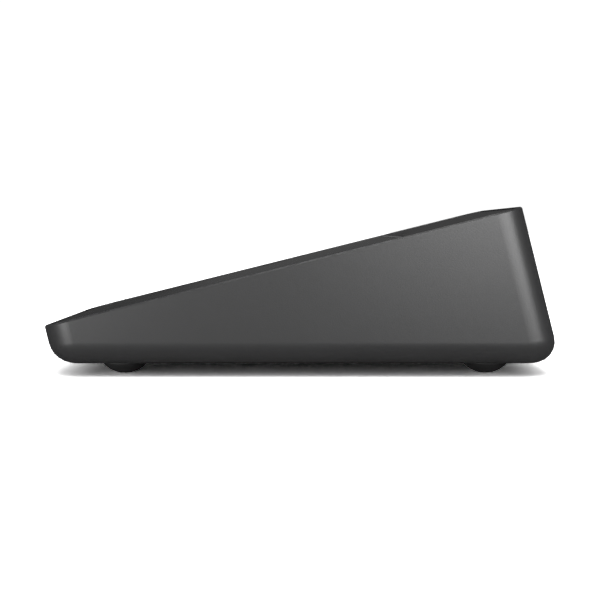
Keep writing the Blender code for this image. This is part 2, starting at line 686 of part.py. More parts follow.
def display_flex():
    """The flat cable from the panel's rear end, round the tray and forward to the main board."""
    start_u = GLASS_END_U - PANEL_REAR_MARGIN + GAP
    mid_n = FRAME_TOP_N - PANEL_THICKNESS / 2
    low_n = FRAME_BOTTOM_N - 0.0006
    bend = 0.0006
    centre_top = (start_u + bend, mid_n - bend)
    path = [(start_u, mid_n), *arc(centre_top, bend, 90, 0, 4)]
    path += arc((start_u, low_n + bend), 2 * bend, 0, -90, 5)
    path = path[:6] + [(p[0], p[1] + bend) for p in path[6:]]
    board_u = MAIN_BOARD_END - 0.0050
    end_n = -MAIN_BOARD_DEPTH + GAP + 0.0002
    path += [(board_u + 0.010, low_n), (board_u + 0.002, end_n), (board_u - 0.004, end_n)]
    place("display_flex", ribbon(path, 0.00025, -0.0200, -0.0080), top_frame, AMBER_FILM)


def contactless_antenna():
    """A flat ring under the tray that reads contactless cards through the glass."""
    top = FRAME_BOTTOM_N - GAP
    ends = (0.0120, 0.0500)
    outer = rounded(0.0260, *ends, 0.005, 0.005, 4)
    inner = rounded(0.0260 - ANTENNA_BAND, ends[0] + ANTENNA_BAND, ends[1] - ANTENNA_BAND, 0.002, 0.002, 4)
    place("contactless_antenna", plate([outer, inner], top - ANTENNA_THICKNESS, top), top_frame, AMBER_FILM)


# ---- printer ----------------------------------------------------------------------------------
def tear_bar():
    """The strip between the glass and the paper exit, with its saw-toothed rear edge."""
    low_u, high_u = GLASS_END_U + GAP, SPLIT_U - 0.0002
    half = HALF_WIDTH - RIM - GAP
    count = int(ROLL_HALF_WIDTH * 2 / SAW_PITCH)
    first = -count * SAW_PITCH / 2
    teeth = []
    for i in range(count):
        x = first + i * SAW_PITCH
        teeth += [(x, high_u), (x + SAW_PITCH / 2, high_u + SAW_DEPTH)]
    teeth.append((first + count * SAW_PITCH, high_u))
    outline = [(-half, low_u), (-half, high_u), *teeth, (half, high_u), (half, low_u)]
    place("tear_bar", plate([outline], -TEAR_BAR_DEPTH, -RECESS_TOP), top_frame, STEEL)


def cover_outline():
    """The lid's plan: full width ahead of the hinge blocks, and a tongue between them."""
    half = HALF_WIDTH - RIM - GAP
    exit_x = ROLL_HALF_WIDTH + 0.0014
    corner = 0.003
    right = [(exit_x, PAPER_EXIT_U), (exit_x, COVER_FRONT_U), (half, COVER_FRONT_U), (half, TONGUE_START_U),
             (TONGUE_HALF_WIDTH, TONGUE_START_U)]
    right += arc((TONGUE_HALF_WIDTH - corner, COVER_REAR_U - corner), corner, 0, 90, 5)
    return right + [(-x, u) for x, u in reversed(right)]


def printer_cover():
    """The flip-up lid with its knuckles, bearing cheeks, ribs and finger scoop."""
    bm = plate([cover_outline()], -RECESS_TOP - COVER_THICKNESS, -RECESS_TOP)
    rear = [e for e in bm.edges if all(v.co.z > -RECESS_TOP - SAME and
                                       v.co.y > COVER_REAR_U - 0.0031 for v in e.verts) and
            len(e.link_faces) == 2 and e.calc_face_angle(0) > 1.0]
    bmesh.ops.bevel(bm, geom=rear, offset=COVER_EDGE_ROUND, offset_type="OFFSET", segments=4,
                    profile=0.5, affect="EDGES", clamp_overlap=False)
    lid = place("printer_cover", bm, top_frame, HOUSING_GREY, origin=(0, *HINGE))
    bm = bmesh.new()
    for low_x in (-TONGUE_HALF_WIDTH + 0.0002, TONGUE_HALF_WIDTH - 0.0062):
        cross_rod(low_x, low_x + 0.0060, HINGE, KNUCKLE_RADIUS, bm, 20)
    combine(lid, "cover_knuckles", bm, "UNION", top_frame)
    bm = bmesh.new()
    cheek = PLATEN_RADIUS - 0.0004
    outline = [(PLATEN[0] - cheek, -RECESS_TOP - COVER_THICKNESS / 2), *arc(PLATEN, cheek, 180, 360, 10),
               (PLATEN[0] + cheek + 0.001, -RECESS_TOP - COVER_THICKNESS / 2)]
    for span in (CHEEK_X, (-CHEEK_X[1], -CHEEK_X[0])):
        merge(bm, plate([outline], *span, across=True))
    for x in both_sides(0.0126):
        box((x - 0.0006, PLATEN[0] + 0.008, -0.0040), (x + 0.0006, TONGUE_START_U + 0.002, -0.0020), bm)
    combine(lid, "cover_cheeks", bm, "UNION", top_frame)
    bm = bmesh.new()
    cross_rod(-TONGUE_HALF_WIDTH - 0.001, TONGUE_HALF_WIDTH + 0.001, HINGE,
              HINGE_PIN_RADIUS + PIN_CLEARANCE, bm)
    cross_rod(-CHEEK_X[1] - 0.001, CHEEK_X[1] + 0.001, PLATEN, 0.0028, bm, 20)
    combine(lid, "cover_bores", bm, "DIFFERENCE", top_frame)
    bm = bmesh.new()
    centre = (0, PAPER_EXIT_U + 0.0003, SCOOP_RADIUS - SCOOP_DEPTH - RECESS_TOP)
    bmesh.ops.create_uvsphere(bm, u_segments=24, v_segments=48, radius=SCOOP_RADIUS,
                              matrix=Matrix.Translation(centre) @ Matrix.Diagonal((SCOOP_STRETCH, 1, 1, 1)))
    bmesh.ops.delete(bm, geom=[v for v in bm.verts if v.co.z > 0.004], context="VERTS")
    bmesh.ops.holes_fill(bm, edges=[e for e in bm.edges if e.is_boundary], sides=0)
    combine(lid, "finger_scoop", bm, "DIFFERENCE", top_frame)


def hinge_pin():
    """The steel pin that the lid turns on."""
    place("hinge_pin", cross_rod(-HINGE_PIN_HALF, HINGE_PIN_HALF, HINGE, HINGE_PIN_RADIUS), top_frame, STEEL)


def ring(low_x, high_x, centre, outer, inner, sides=20):
    """A tube along x about a (u, n) point."""
    outlines = [arc(centre, radius, 0, 360 - 360 / sides, sides - 1) for radius in (outer, inner)]
    return plate(outlines, low_x, high_x, across=True)


def platen():
    """The rubber roller, its shaft and bushings; it turns with its gear."""
    origin = (0, *PLATEN)
    sleeve = ring(-ROLL_HALF_WIDTH, ROLL_HALF_WIDTH, PLATEN, PLATEN_RADIUS, SHAFT_RADIUS + GAP)
    place("platen_rubber", sleeve, top_frame, BLACK_RUBBER, origin)
    shaft = cross_rod(-CHEEK_X[1] - 0.0005, GEAR_X + GEAR_WIDTH + 0.0004, PLATEN, SHAFT_RADIUS)
    place("platen_shaft", shaft, top_frame, STEEL, origin)
    for sign, side in ((1, "right"), (-1, "left")):
        span = sorted((sign * (CHEEK_X[0] - 0.0002), sign * (CHEEK_X[1] + 0.0001)))
        bushing = ring(*span, PLATEN, 0.0025, SHAFT_RADIUS + GAP, 16)
        place(f"platen_bushing_{side}", bushing, top_frame, WHITE_NYLON)


def gear_outline(centre, teeth, tooth_angle):
    """A gear's outline of straight-sided teeth, with one tooth centred at the given angle."""
    pitch_radius = GEAR_MODULE * teeth / 2
    tip, root = pitch_radius + 0.84 * GEAR_MODULE, pitch_radius - 1.16 * GEAR_MODULE
    step = 2 * math.pi / teeth
    points = []
    for i in range(teeth):
        middle = tooth_angle + i * step
        for radius, share in ((root, -0.31), (tip, -0.10), (tip, 0.10), (root, 0.31)):
            angle = middle + share * step
            points.append((centre[0] + radius * math.cos(angle), centre[1] + radius * math.sin(angle)))
    return points


def gear_train():
    """The centre, tooth count and tooth angle of each gear, so that all are in mesh."""
    names = ("platen_gear", "first_idler_gear", "second_idler_gear", "motor_pinion")
    teeth = (PLATEN_TEETH, IDLER_TEETH, IDLER_TEETH, PINION_TEETH)
    directions = (FIRST_IDLER_ANGLE, SECOND_IDLER_ANGLE, PINION_ANGLE)
    train = [(names[0], PLATEN, teeth[0], FIRST_IDLER_ANGLE)]
    for name, count, direction in zip(names[1:], teeth[1:], directions):
        _, centre, last_count, last_angle = train[-1]
        distance = GEAR_MODULE * (last_count + count) / 2 + GEAR_SLACK
        here = (centre[0] + distance * math.cos(direction), centre[1] + distance * math.sin(direction))
        share = ((direction - last_angle) / (2 * math.pi / last_count)) % 1
        train.append((name, here, count, direction + math.pi - (0.5 - share) * 2 * math.pi / count))
    return train


def gears():
    """The four gears outside the right side plate."""
    for name, centre, teeth, angle in gear_train():
        low, high = GEAR_X, GEAR_X + GEAR_WIDTH
        outlines = [gear_outline(centre, teeth, angle)]
        if name == "motor_pinion":
            shaft = cross_rod(SIDE_PLATE_INNER, GEAR_X + 0.0005, centre, 0.0010)
            toothed = plate(outlines, low, high, across=True)
            pinion = place(name, toothed, top_frame, WHITE_NYLON, (0, *centre))
            combine(pinion, "pinion_shaft", shaft, "UNION", top_frame)
            continue
        bore = (SHAFT_RADIUS if name == "platen_gear" else STUD_RADIUS) + GAP
        outlines.append(arc(centre, bore, 0, 337.5, 15))
        place(name, plate(outlines, low, high, across=True), top_frame, WHITE_NYLON, (0, *centre))


def printer_chassis():
    """The paper tub with its side plates, gear studs, spring wall and screw bosses."""
    lip_n, deck_n = -0.0188, -0.0103
    block_half = SIDE_PLATE_INNER + SIDE_PLATE * 0.3
    front_u, rear_u = ROLL[0] - TUB_OUTER_RADIUS, ROLL[0] + TUB_OUTER_RADIUS
    shelf_u = PLATEN[0] + 0.0061
    outline = [(front_u, lip_n), *arc(ROLL, TUB_OUTER_RADIUS, 180, 360, 20), (rear_u, deck_n),
               (shelf_u, deck_n), (shelf_u, lip_n)]
    chassis = place("printer_chassis", plate([outline], -block_half, block_half, across=True),
                    top_frame, DARK_PLASTIC)
    train = {name: centre for name, centre, _, _ in gear_train()}
    motor = train["motor_pinion"]
    top_n = FRAME_BOTTOM_N - GAP
    side = [(motor[0] - 0.0112, top_n), (motor[0] - 0.0112, motor[1] - 0.009), (front_u, -0.0330),
            (front_u + 0.012, -0.0400), (rear_u - 0.012, -0.0400), (rear_u - 0.001, -0.0280),
            (rear_u - 0.001, deck_n - 0.0004), (TONGUE_START_U - 0.0015, deck_n - 0.0004),
            (TONGUE_START_U - 0.0015, -0.0030), (GLASS_END_U + 0.0010, -0.0036),
            (GLASS_END_U - 0.001, top_n)]
    bm = bmesh.new()
    for sign in (-1, 1):
        span = sorted((sign * SIDE_PLATE_INNER, sign * SIDE_PLATE_OUTER))
        merge(bm, plate([side], *span, across=True))
    combine(chassis, "side_plates", bm, "UNION", top_frame)
    wall_u = GLASS_END_U - 0.0096
    wall = box((-SIDE_PLATE_INNER - 0.001, wall_u, deck_n),
               (SIDE_PLATE_INNER + 0.001, wall_u + 0.0014, -0.0070))
    combine(chassis, "spring_wall", wall, "UNION", top_frame)
    bm = bmesh.new()
    for name in ("first_idler_gear", "second_idler_gear"):
        cross_rod(SIDE_PLATE_OUTER - SIDE_PLATE / 2, GEAR_X + GEAR_WIDTH + 0.0004, train[name],
                  STUD_RADIUS, bm)
    combine(chassis, "gear_studs", bm, "UNION", top_frame)
    bm = bmesh.new()
    for x in both_sides(SCREW_X - 0.001):
        locator_y = PLATEN[0] * COS + 0.0102
        rod((x, locator_y, FLOOR_Z + GAP), (x, locator_y, FLOOR_Z + 0.0115), SCREW_POST_RADIUS, bm)
    for x in both_sides(SCREW_X):
        rod((x, SCREW_REAR_Y, FLOOR_Z + SCREW_BOSS_HEIGHT), (x, SCREW_REAR_Y, FLOOR_Z + 0.0165),
            SCREW_POST_RADIUS, bm)
    combine(chassis, "chassis_bosses", bm, "UNION", base_frame)
    bay = [*arc(ROLL, TUB_RADIUS, 180, 360, 28), (ROLL[0] + TUB_RADIUS, 0.001),
           (ROLL[0] - TUB_RADIUS, 0.001)]
    combine(chassis, "roll_bay", plate([bay], -TUB_HALF_WIDTH, TUB_HALF_WIDTH, across=True),
            "DIFFERENCE", top_frame)
    slot = SHAFT_RADIUS + 0.0009
    bm = plate([[*arc(PLATEN, slot, 180, 360, 8), (PLATEN[0] + slot, 0.001), (PLATEN[0] - slot, 0.001)]],
               SIDE_PLATE_INNER - 0.001, SIDE_PLATE_OUTER + 0.001, across=True)
    cross_rod(SIDE_PLATE_INNER - 0.001, SIDE_PLATE_OUTER + 0.001, motor, 0.0022, bm)
    for sign in (-1, 1):
        span = sorted((sign * (SIDE_PLATE_INNER - 0.001), sign * (SIDE_PLATE_OUTER + 0.001)))
        cross_rod(*span, head_pivot(), 0.0015, bm)
    combine(chassis, "plate_holes", bm, "DIFFERENCE", top_frame)
    bm = bmesh.new()
    for x in both_sides(SCREW_X):
        rod((x, SCREW_REAR_Y, 0), (x, SCREW_REAR_Y, SCREW_TOP_Z + GAP), SCREW_SHANK_RADIUS + GAP, bm)
    combine(chassis, "chassis_bores", bm, "DIFFERENCE", base_frame)


def head_face_u():
    """The face of the print head that looks at the platen."""
    return PLATEN[0] - PLATEN_RADIUS - HEAD_GAP


def head_pivot():
    """The axis that the print head rocks on."""
    return (head_face_u() - HEAD_THICKNESS - GAP - SINK_THICKNESS / 2,
            -HEAD_TOP_DEPTH - HEAD_HEIGHT + 0.0016)


def print_head():
    """The heating strip, its aluminium backing with pivot pins, and the two springs behind it."""
    face = head_face_u()
    low_n, high_n = -HEAD_TOP_DEPTH - HEAD_HEIGHT, -HEAD_TOP_DEPTH
    half = ROLL_HALF_WIDTH - 0.00025
    strip = box((-half, face - HEAD_THICKNESS, low_n), (half, face, high_n))
    place("print_head", strip, top_frame, WHITE_NYLON, (0, *head_pivot()))
    back = face - HEAD_THICKNESS - GAP
    sink_bm = box((-half, back - SINK_THICKNESS, low_n), (half, back, high_n))
    sink = place("head_heat_sink", sink_bm, top_frame, ALUMINIUM, (0, *head_pivot()))
    pin = cross_rod(-SIDE_PLATE_OUTER + 0.0004, SIDE_PLATE_OUTER - 0.0004, head_pivot(), 0.0012)
    combine(sink, "sink_pivot", pin, "UNION", top_frame)
    wall_u = GLASS_END_U - 0.0082
    for x, side in ((0.018, "right"), (-0.018, "left")):
        head_spring(f"head_spring_{side}", x, wall_u + GAP, back - SINK_THICKNESS - GAP - 0.0003, -0.0086)


def head_spring(name, x, start_u, end_u, n):
    """A compression spring that presses the head against the platen."""
    wire, radius, turns, per_turn = 0.00022, 0.00115, 4, 8
    length = end_u - start_u - 2 * wire
    curve = bpy.data.curves.new(name, "CURVE")
    curve.dimensions = "3D"
    curve.bevel_depth = wire
    curve.bevel_resolution = 1
    curve.use_fill_caps = True
    spline = curve.splines.new("POLY")
    count = turns * per_turn + 1
    spline.points.add(count - 1)
    for i, point in enumerate(spline.points):
        angle = 2 * math.pi * i / per_turn
        along = start_u + wire + length * i / (count - 1)
        point.co = (x + radius * math.cos(angle), along, n + radius * math.sin(angle), 1)
    spring = bpy.data.objects.new(name, curve)
    parts.objects.link(spring)
    spring.parent = top_frame
    curve.materials.append(material(name, *STEEL))


def head_flex():
    """The flat cable from the print head forward under the spring wall to the main board."""
    face = head_face_u()
    start = (face - 0.0022, -HEAD_TOP_DEPTH - HEAD_HEIGHT - GAP)
    path = [start, (start[0], start[1] - 0.0020), (start[0] - 0.0010, start[1] - 0.0034),
            (start[0] - 0.0030, start[1] - 0.0042), (start[0] - 0.0110, start[1] - 0.0042),
            (start[0] - 0.0170, start[1] - 0.0010), (MAIN_BOARD_END + 0.0010, -MAIN_BOARD_DEPTH - 0.0025),
            (MAIN_BOARD_END - 0.0020, -MAIN_BOARD_DEPTH - BOARD_THICKNESS - GAP - 0.0002),
            (MAIN_BOARD_END - 0.0060, -MAIN_BOARD_DEPTH - BOARD_THICKNESS - GAP - 0.0002)]
    place("head_flex", ribbon(path, 0.0003, -0.0200, -0.0040), top_frame, AMBER_FILM)


def paper_sensor():
    """The small optical sensor on the front wall of the paper tub."""
    face = ROLL[0] - TUB_OUTER_RADIUS - GAP
    bm = box((0.004, face - 0.0022, -0.0245), (0.011, face, -0.0205))
    place("paper_sensor", bm, top_frame, DARK_PLASTIC)


def feed_motor():
    """The stepping motor behind the right side plate, on its mounting flange."""
    centre = gear_train()[-1][1]
    face = SIDE_PLATE_INNER - GAP
    can = cross_rod(face - MOTOR_LENGTH, face, centre, MOTOR_RADIUS, sides=24)
    motor = place("feed_motor", can, top_frame, STEEL)
    ear, reach = 0.0028, 0.0085
    flange = [*arc((centre[0] + reach, centre[1]), ear, -90, 90, 8),
              *arc((centre[0] - reach, centre[1]), ear, 90, 270, 8)]
    combine(motor, "motor_flange", plate([flange], face - 0.0008, face - 0.0001, across=True),
            "UNION", top_frame)


def paper_roll():
    """A full roll of receipt paper on its cardboard core."""
    origin = (0, *ROLL)
    span = (-ROLL_HALF_WIDTH + GAP, ROLL_HALF_WIDTH - GAP)
    wound = ring(*span, ROLL, ROLL_RADIUS, CORE_RADIUS + GAP, 36)
    place("paper_roll", wound, top_frame, PAPER, origin)
    core = ring(*span, ROLL, CORE_RADIUS, CORE_RADIUS - CORE_WALL, 20)
    place("roll_core", core, top_frame, CARD_BOARD, origin)


# ---- card reader and electronics --------------------------------------------------------------
def card_slot_bezel():
    """The insert round the card slot, flush with the housing's front face."""
    centre = -CARD_PLANE_DEPTH
    half, tall = CARD_SLOT_WIDTH / 2 + BEZEL_MARGIN - GAP, BEZEL_HALF_HEIGHT - GAP
    bm = box((-half, -0.001, centre - tall), (half, WALL + 0.0016, centre + tall))
    bezel = place("card_slot_bezel", bm, top_frame, DARK_PLASTIC)
    face = wedge(0.0001, 0.001, FOOT_HEIGHT, BOTTOM_STEPS)
    combine(bezel, "bezel_face", face, "INTERSECT", top_frame)
    gap = CARD_SLOT_HEIGHT / 2
    mouth = box((-CARD_SLOT_WIDTH / 2, -0.002, centre - gap),
                (CARD_SLOT_WIDTH / 2, WALL + 0.003, centre + gap))
    combine(bezel, "bezel_slot", mouth, "DIFFERENCE", top_frame)
    flare = box((-CARD_SLOT_WIDTH / 2 - 2 * BEZEL_FLARE, -0.002, centre - gap - BEZEL_FLARE),
                (CARD_SLOT_WIDTH / 2 + 2 * BEZEL_FLARE, 0.0011, centre + gap + BEZEL_FLARE))
    combine(bezel, "bezel_flare", flare, "DIFFERENCE", top_frame)


def card_reader():
    """The chip reader: a shallow box with the card's slot, on its own small board."""
    low_u, high_u = READER_FRONT, READER_FRONT + READER_LENGTH
    middle, half = -CARD_PLANE_DEPTH, READER_WIDTH / 2
    bm = box((-half, low_u, middle - READER_HEIGHT / 2), (half, high_u, middle + READER_HEIGHT / 2))
    body = place("card_reader", bm, top_frame, DARK_PLASTIC)
    gap = CARD_SLOT_HEIGHT / 2
    slot = box((-CARD_SLOT_WIDTH / 2, low_u - 0.001, middle - gap),
               (CARD_SLOT_WIDTH / 2, high_u - 0.002, middle + gap))
    combine(body, "reader_slot", slot, "DIFFERENCE", top_frame)
    top = middle - READER_HEIGHT / 2 - GAP
    half = READER_WIDTH / 2 - 0.0045
    board = box((-half, low_u + 0.0074, top - 0.0009), (half, high_u - 0.0010, top))
    place("card_reader_board", board, top_frame, CIRCUIT_GREEN)


def main_board():
    """The main circuit board with its shield cans and coin cell, on four posts."""
    top, bottom = -MAIN_BOARD_DEPTH, -MAIN_BOARD_DEPTH - BOARD_THICKNESS
    half = MAIN_BOARD_HALF_WIDTH
    outline = rounded(half, MAIN_BOARD_START, MAIN_BOARD_END, 0.001, 0.001, 2)
    board = place("main_board", plate([outline], bottom, top), top_frame, CIRCUIT_GREEN)
    holes = bmesh.new()
    places = [(x, u) for u in (MAIN_BOARD_START + 0.003, MAIN_BOARD_END - 0.003)
              for x in both_sides(half - POST_RADIUS)]
    for x, u in places:
        rod((x, u, bottom - 0.001), (x, u, top + 0.001), 0.0012, holes, 12)
    combine(board, "board_holes", holes, "DIFFERENCE", top_frame)
    names = ("board_screw_front_left", "board_screw_front_right",
             "board_screw_rear_left", "board_screw_rear_right")
    for name, (x, u) in zip(names, places):
        screw(name, top_frame, (x, u, top + GAP), 0.0017, 0.0009, 0.0008, BOARD_THICKNESS + GAP,
              STEEL, flip=True)
    can_top = top + GAP + 0.0011
    cans = (("processor_shield", (-0.0215, 0.0640), (0.0000, 0.0860)),
            ("radio_shield", (0.0040, 0.0640), (0.0215, 0.0800)))
    for name, low, high in cans:
        place(name, box((*low, top + GAP), (*high, can_top)), top_frame, STEEL)
    cell = rod((0.010, 0.098, bottom - GAP - 0.0032), (0.010, 0.098, bottom - GAP), 0.0100, sides=24)
    place("coin_cell", cell, top_frame, STEEL)


def door_outline(clearance):
    """The battery door's plan with its screw tab, in level axes."""
    half = BATTERY_WIDTH / 2 + 0.0035 + clearance
    low, high = BATTERY_FRONT - 0.0040 - clearance, BATTERY_REAR + 0.0030 + clearance
    tab, tab_end = 0.0050 + clearance, BATTERY_REAR + 0.0110 + clearance
    return [(half, low), (half, high), (tab, high), (tab, tab_end), (-tab, tab_end), (-tab, high),
            (-half, high), (-half, low)]


def battery():
    """The battery pack, the door under it and the door's screw."""
    half = BATTERY_WIDTH / 2
    low = (-half, BATTERY_FRONT, FLOOR_Z)
    bm = box(low, (half, BATTERY_REAR, FLOOR_Z + BATTERY_HEIGHT))
    long_edges = [e for e in bm.edges if abs(e.verts[0].co.y - e.verts[1].co.y) > BATTERY_LENGTH / 2]
    bmesh.ops.bevel(bm, geom=long_edges, offset=0.006, offset_type="OFFSET", segments=4, profile=0.5,
                    affect="EDGES", clamp_overlap=False)
    place("battery_pack", bm, base_frame, BATTERY_BLUE)
    outer = plate([door_outline(0)], FOOT_HEIGHT, FOOT_HEIGHT + DOOR_THICKNESS)
    door = place("battery_door", outer, base_frame, HOUSING_GREY)
    pad = box((-half, BATTERY_FRONT - GAP, FOOT_HEIGHT + 0.0005), (half, BATTERY_REAR + GAP, FLOOR_Z - GAP))
    combine(door, "door_pad", pad, "UNION", base_frame)
    door_y = BATTERY_REAR + DOOR_SCREW_INSET
    bm = rod((0, door_y, 0), (0, door_y, FOOT_HEIGHT + 0.002), 0.0013)
    combine(door, "door_hole", bm, "DIFFERENCE", base_frame)
    screw("battery_door_screw", base_frame, (0, door_y, FOOT_HEIGHT - GAP), 0.0019, 0.0009, 0.0009,
          0.0060, STEEL)


def power_button():
    """The sprung button in the left wall and the switch board behind it."""
    out_x, flange_x = -HALF_WIDTH, -HOUSING_INNER_X + GAP
    low_n, high_n = -BUTTON_DEPTH - BUTTON_HEIGHT / 2, -BUTTON_DEPTH + BUTTON_HEIGHT / 2
    low_u, high_u = BUTTON_U - BUTTON_LENGTH / 2, BUTTON_U + BUTTON_LENGTH / 2
    origin = (out_x, BUTTON_U, -BUTTON_DEPTH)
    cap_bm = box((out_x, low_u, low_n), (flange_x + 0.0005, high_u, high_n))
    rim = [e for e in cap_bm.edges if all(v.co.x < out_x + SAME for v in e.verts)]
    bmesh.ops.bevel(cap_bm, geom=rim, offset=0.0003, offset_type="OFFSET", segments=2, profile=0.5,
                    affect="EDGES")
    cap = place("power_button", cap_bm, top_frame, DARK_PLASTIC, origin)
    flange = box((flange_x, low_u - PIN_CLEARANCE, low_n - 0.0009),
                 (flange_x + BUTTON_FLANGE, high_u + PIN_CLEARANCE, high_n + 0.0009))
    combine(cap, "button_flange", flange, "UNION", top_frame)
    board_x = flange_x + BUTTON_FLANGE + BUTTON_TRAVEL + BUTTON_PLAY + SWITCH_DOME
    switch_bm = box((board_x, BUTTON_U - 0.0060, -BUTTON_DEPTH - 0.0055),
                    (board_x + SWITCH_BOARD, BUTTON_U + 0.0060, -BUTTON_DEPTH + 0.0045))
    switch = place("power_switch", switch_bm, top_frame, CIRCUIT_GREEN)
    dome = box((board_x - SWITCH_DOME, BUTTON_U - SWITCH_DOME_HALF, -BUTTON_DEPTH - SWITCH_DOME_HALF),
               (board_x + SWITCH_BOARD / 5, BUTTON_U + SWITCH_DOME_HALF, -BUTTON_DEPTH + SWITCH_DOME_HALF))
    combine(switch, "switch_dome", dome, "UNION", top_frame)


def port():
    """The charging socket in the rear wall and the small board under it."""
    end_u = TOP_LENGTH - 0.0006
    middle = -PORT_DEPTH
    outer = rounded(PORT_WIDTH / 2, -PORT_HEIGHT / 2, PORT_HEIGHT / 2, PORT_ROUND, PORT_ROUND, 4)
    bm = plate([[(x, n + middle) for x, n in outer]], -end_u, -end_u + PORT_LENGTH)
    bmesh.ops.rotate(bm, verts=bm.verts, matrix=Matrix.Rotation(math.pi / 2, 3, "X"))
    shell = place("usb_receptacle", bm, top_frame, STEEL)
    inner_round = PORT_ROUND - PORT_SHELL
    inner = rounded(PORT_WIDTH / 2 - PORT_SHELL, -PORT_HEIGHT / 2 + PORT_SHELL, PORT_HEIGHT / 2 - PORT_SHELL,
                    inner_round, inner_round, 4)
    hollow = plate([[(x, n + middle) for x, n in inner]], -end_u - 0.001, -end_u + PORT_LENGTH - 0.0012)
    bmesh.ops.rotate(hollow, verts=hollow.verts, matrix=Matrix.Rotation(math.pi / 2, 3, "X"))
    combine(shell, "port_hollow", hollow, "DIFFERENCE", top_frame)
    tongue = box((-PORT_WIDTH / 2 + 0.0012, end_u - PORT_LENGTH + 0.0008, middle - 0.00035),
                 (PORT_WIDTH / 2 - 0.0012, end_u - 0.0010, middle + 0.00035))
    combine(shell, "port_tongue", tongue, "UNION", top_frame)
    board_top = middle - PORT_HEIGHT / 2 - GAP
    board = box((-PORT_BOARD_HALF, TOP_LENGTH - 0.0195, board_top - BOARD_THICKNESS),
                (PORT_BOARD_HALF, TOP_LENGTH - 0.0034, board_top))
    place("port_board", board, top_frame, CIRCUIT_GREEN)


def speaker():
    """The loudspeaker over its holes in the floor."""
    low = (0, SPEAKER_Y, FLOOR_Z + GAP)
    bm = rod(low, (0, SPEAKER_Y, FLOOR_Z + GAP + SPEAKER_HEIGHT), SPEAKER_RADIUS, sides=24)
    place("speaker", bm, base_frame, DARK_PLASTIC)


housing()
feet()
housing_screws()
cover_glass()
display_panel()
display_frame()
display_flex()
contactless_antenna()
tear_bar()
printer_cover()
hinge_pin()
platen()
gears()
printer_chassis()
print_head()
head_flex()
paper_sensor()
feed_motor()
paper_roll()
card_slot_bezel()
card_reader()
main_board()
battery()
power_button()
port()
speaker()
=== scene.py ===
"""Looks, stage and camera for a card payment terminal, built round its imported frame.

Every piece gets its finish here. Pieces that show a curve are rebuilt with smooth surfaces and
softened edges, and the feet and the base screws come from a node tree. Lengths are metres.
"""

import json
import math

import bmesh
import bpy
from bpy.props import FloatProperty, FloatVectorProperty, IntProperty, PointerProperty
from mathutils import Matrix, Vector


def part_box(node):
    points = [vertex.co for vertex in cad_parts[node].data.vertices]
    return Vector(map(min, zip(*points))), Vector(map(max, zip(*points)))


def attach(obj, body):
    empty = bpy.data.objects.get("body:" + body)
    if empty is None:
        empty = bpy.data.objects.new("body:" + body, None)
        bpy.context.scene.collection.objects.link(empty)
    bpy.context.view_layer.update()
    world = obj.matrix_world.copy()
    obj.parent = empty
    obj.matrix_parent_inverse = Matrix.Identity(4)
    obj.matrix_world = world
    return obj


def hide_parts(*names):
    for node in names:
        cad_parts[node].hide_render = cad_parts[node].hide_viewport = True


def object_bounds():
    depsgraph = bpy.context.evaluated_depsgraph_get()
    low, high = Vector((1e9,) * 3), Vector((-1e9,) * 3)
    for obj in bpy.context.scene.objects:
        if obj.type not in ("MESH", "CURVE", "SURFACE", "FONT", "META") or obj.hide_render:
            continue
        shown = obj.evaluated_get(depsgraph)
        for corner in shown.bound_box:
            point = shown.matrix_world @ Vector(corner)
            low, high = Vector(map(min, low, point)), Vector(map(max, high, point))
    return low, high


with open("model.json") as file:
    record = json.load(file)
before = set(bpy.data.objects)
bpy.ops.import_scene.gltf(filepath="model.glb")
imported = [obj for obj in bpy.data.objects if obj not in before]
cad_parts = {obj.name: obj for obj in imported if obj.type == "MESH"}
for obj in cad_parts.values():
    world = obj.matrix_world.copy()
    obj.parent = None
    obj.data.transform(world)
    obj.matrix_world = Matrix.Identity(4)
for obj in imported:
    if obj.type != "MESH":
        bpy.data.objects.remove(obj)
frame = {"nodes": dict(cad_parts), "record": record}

bl_info = {
    "name": "Card payment terminal",
    "version": (1, 0, 0),
    "blender": (4, 5, 0),
    "location": "3D View > Sidebar > Terminal",
    "description": "Finishes, stage and camera of a card payment terminal",
    "category": "Object",
}

CAD_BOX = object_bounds()
NODES = frame["nodes"]
SLOPE = math.radians(14.0)
FRONT_EDGE = Vector((0.0, -0.09628942, 0.0186))
RIM_INNER_X = 0.0415
HEATER_LINE = (-0.0086, -0.0076)
WINDOW_INSET = 0.0010
WELD = 1e-6
FLAT_ANGLE = math.radians(0.3)
HOUSING_SCREW_RADIUS = 0.0024
FLOOR_IN_MIRRORS = (0.06, 0.06, 0.06, 1.0)
FLOOR_SIZE = 14.0
CAMERA_SHIFT = -0.1170
CAMERA_Y = 0.00005
BACKDROP_STRENGTH = 1.05
# Each softbox: its place, its width and height, and whether it lights matt surfaces too
SOFTBOXES = {
    "front": ((0.70, -0.64, 0.09), (0.36, 0.16), False),
    "rear": ((0.70, 0.48, 0.25), (0.90, 0.40), False),
    "overhead": ((0.40, 0.0, 0.90), (0.70, 0.70), True),
}
LOBES = 6
LOBE_DEPTH = 0.17
BODY_OF = {node: body for body, members in frame["record"]["behaviour"]["bodies"].items() for node in members}
SLOT_OF = {piece["node"]: piece["material_slot"] for piece in frame["record"]["subparts"]}


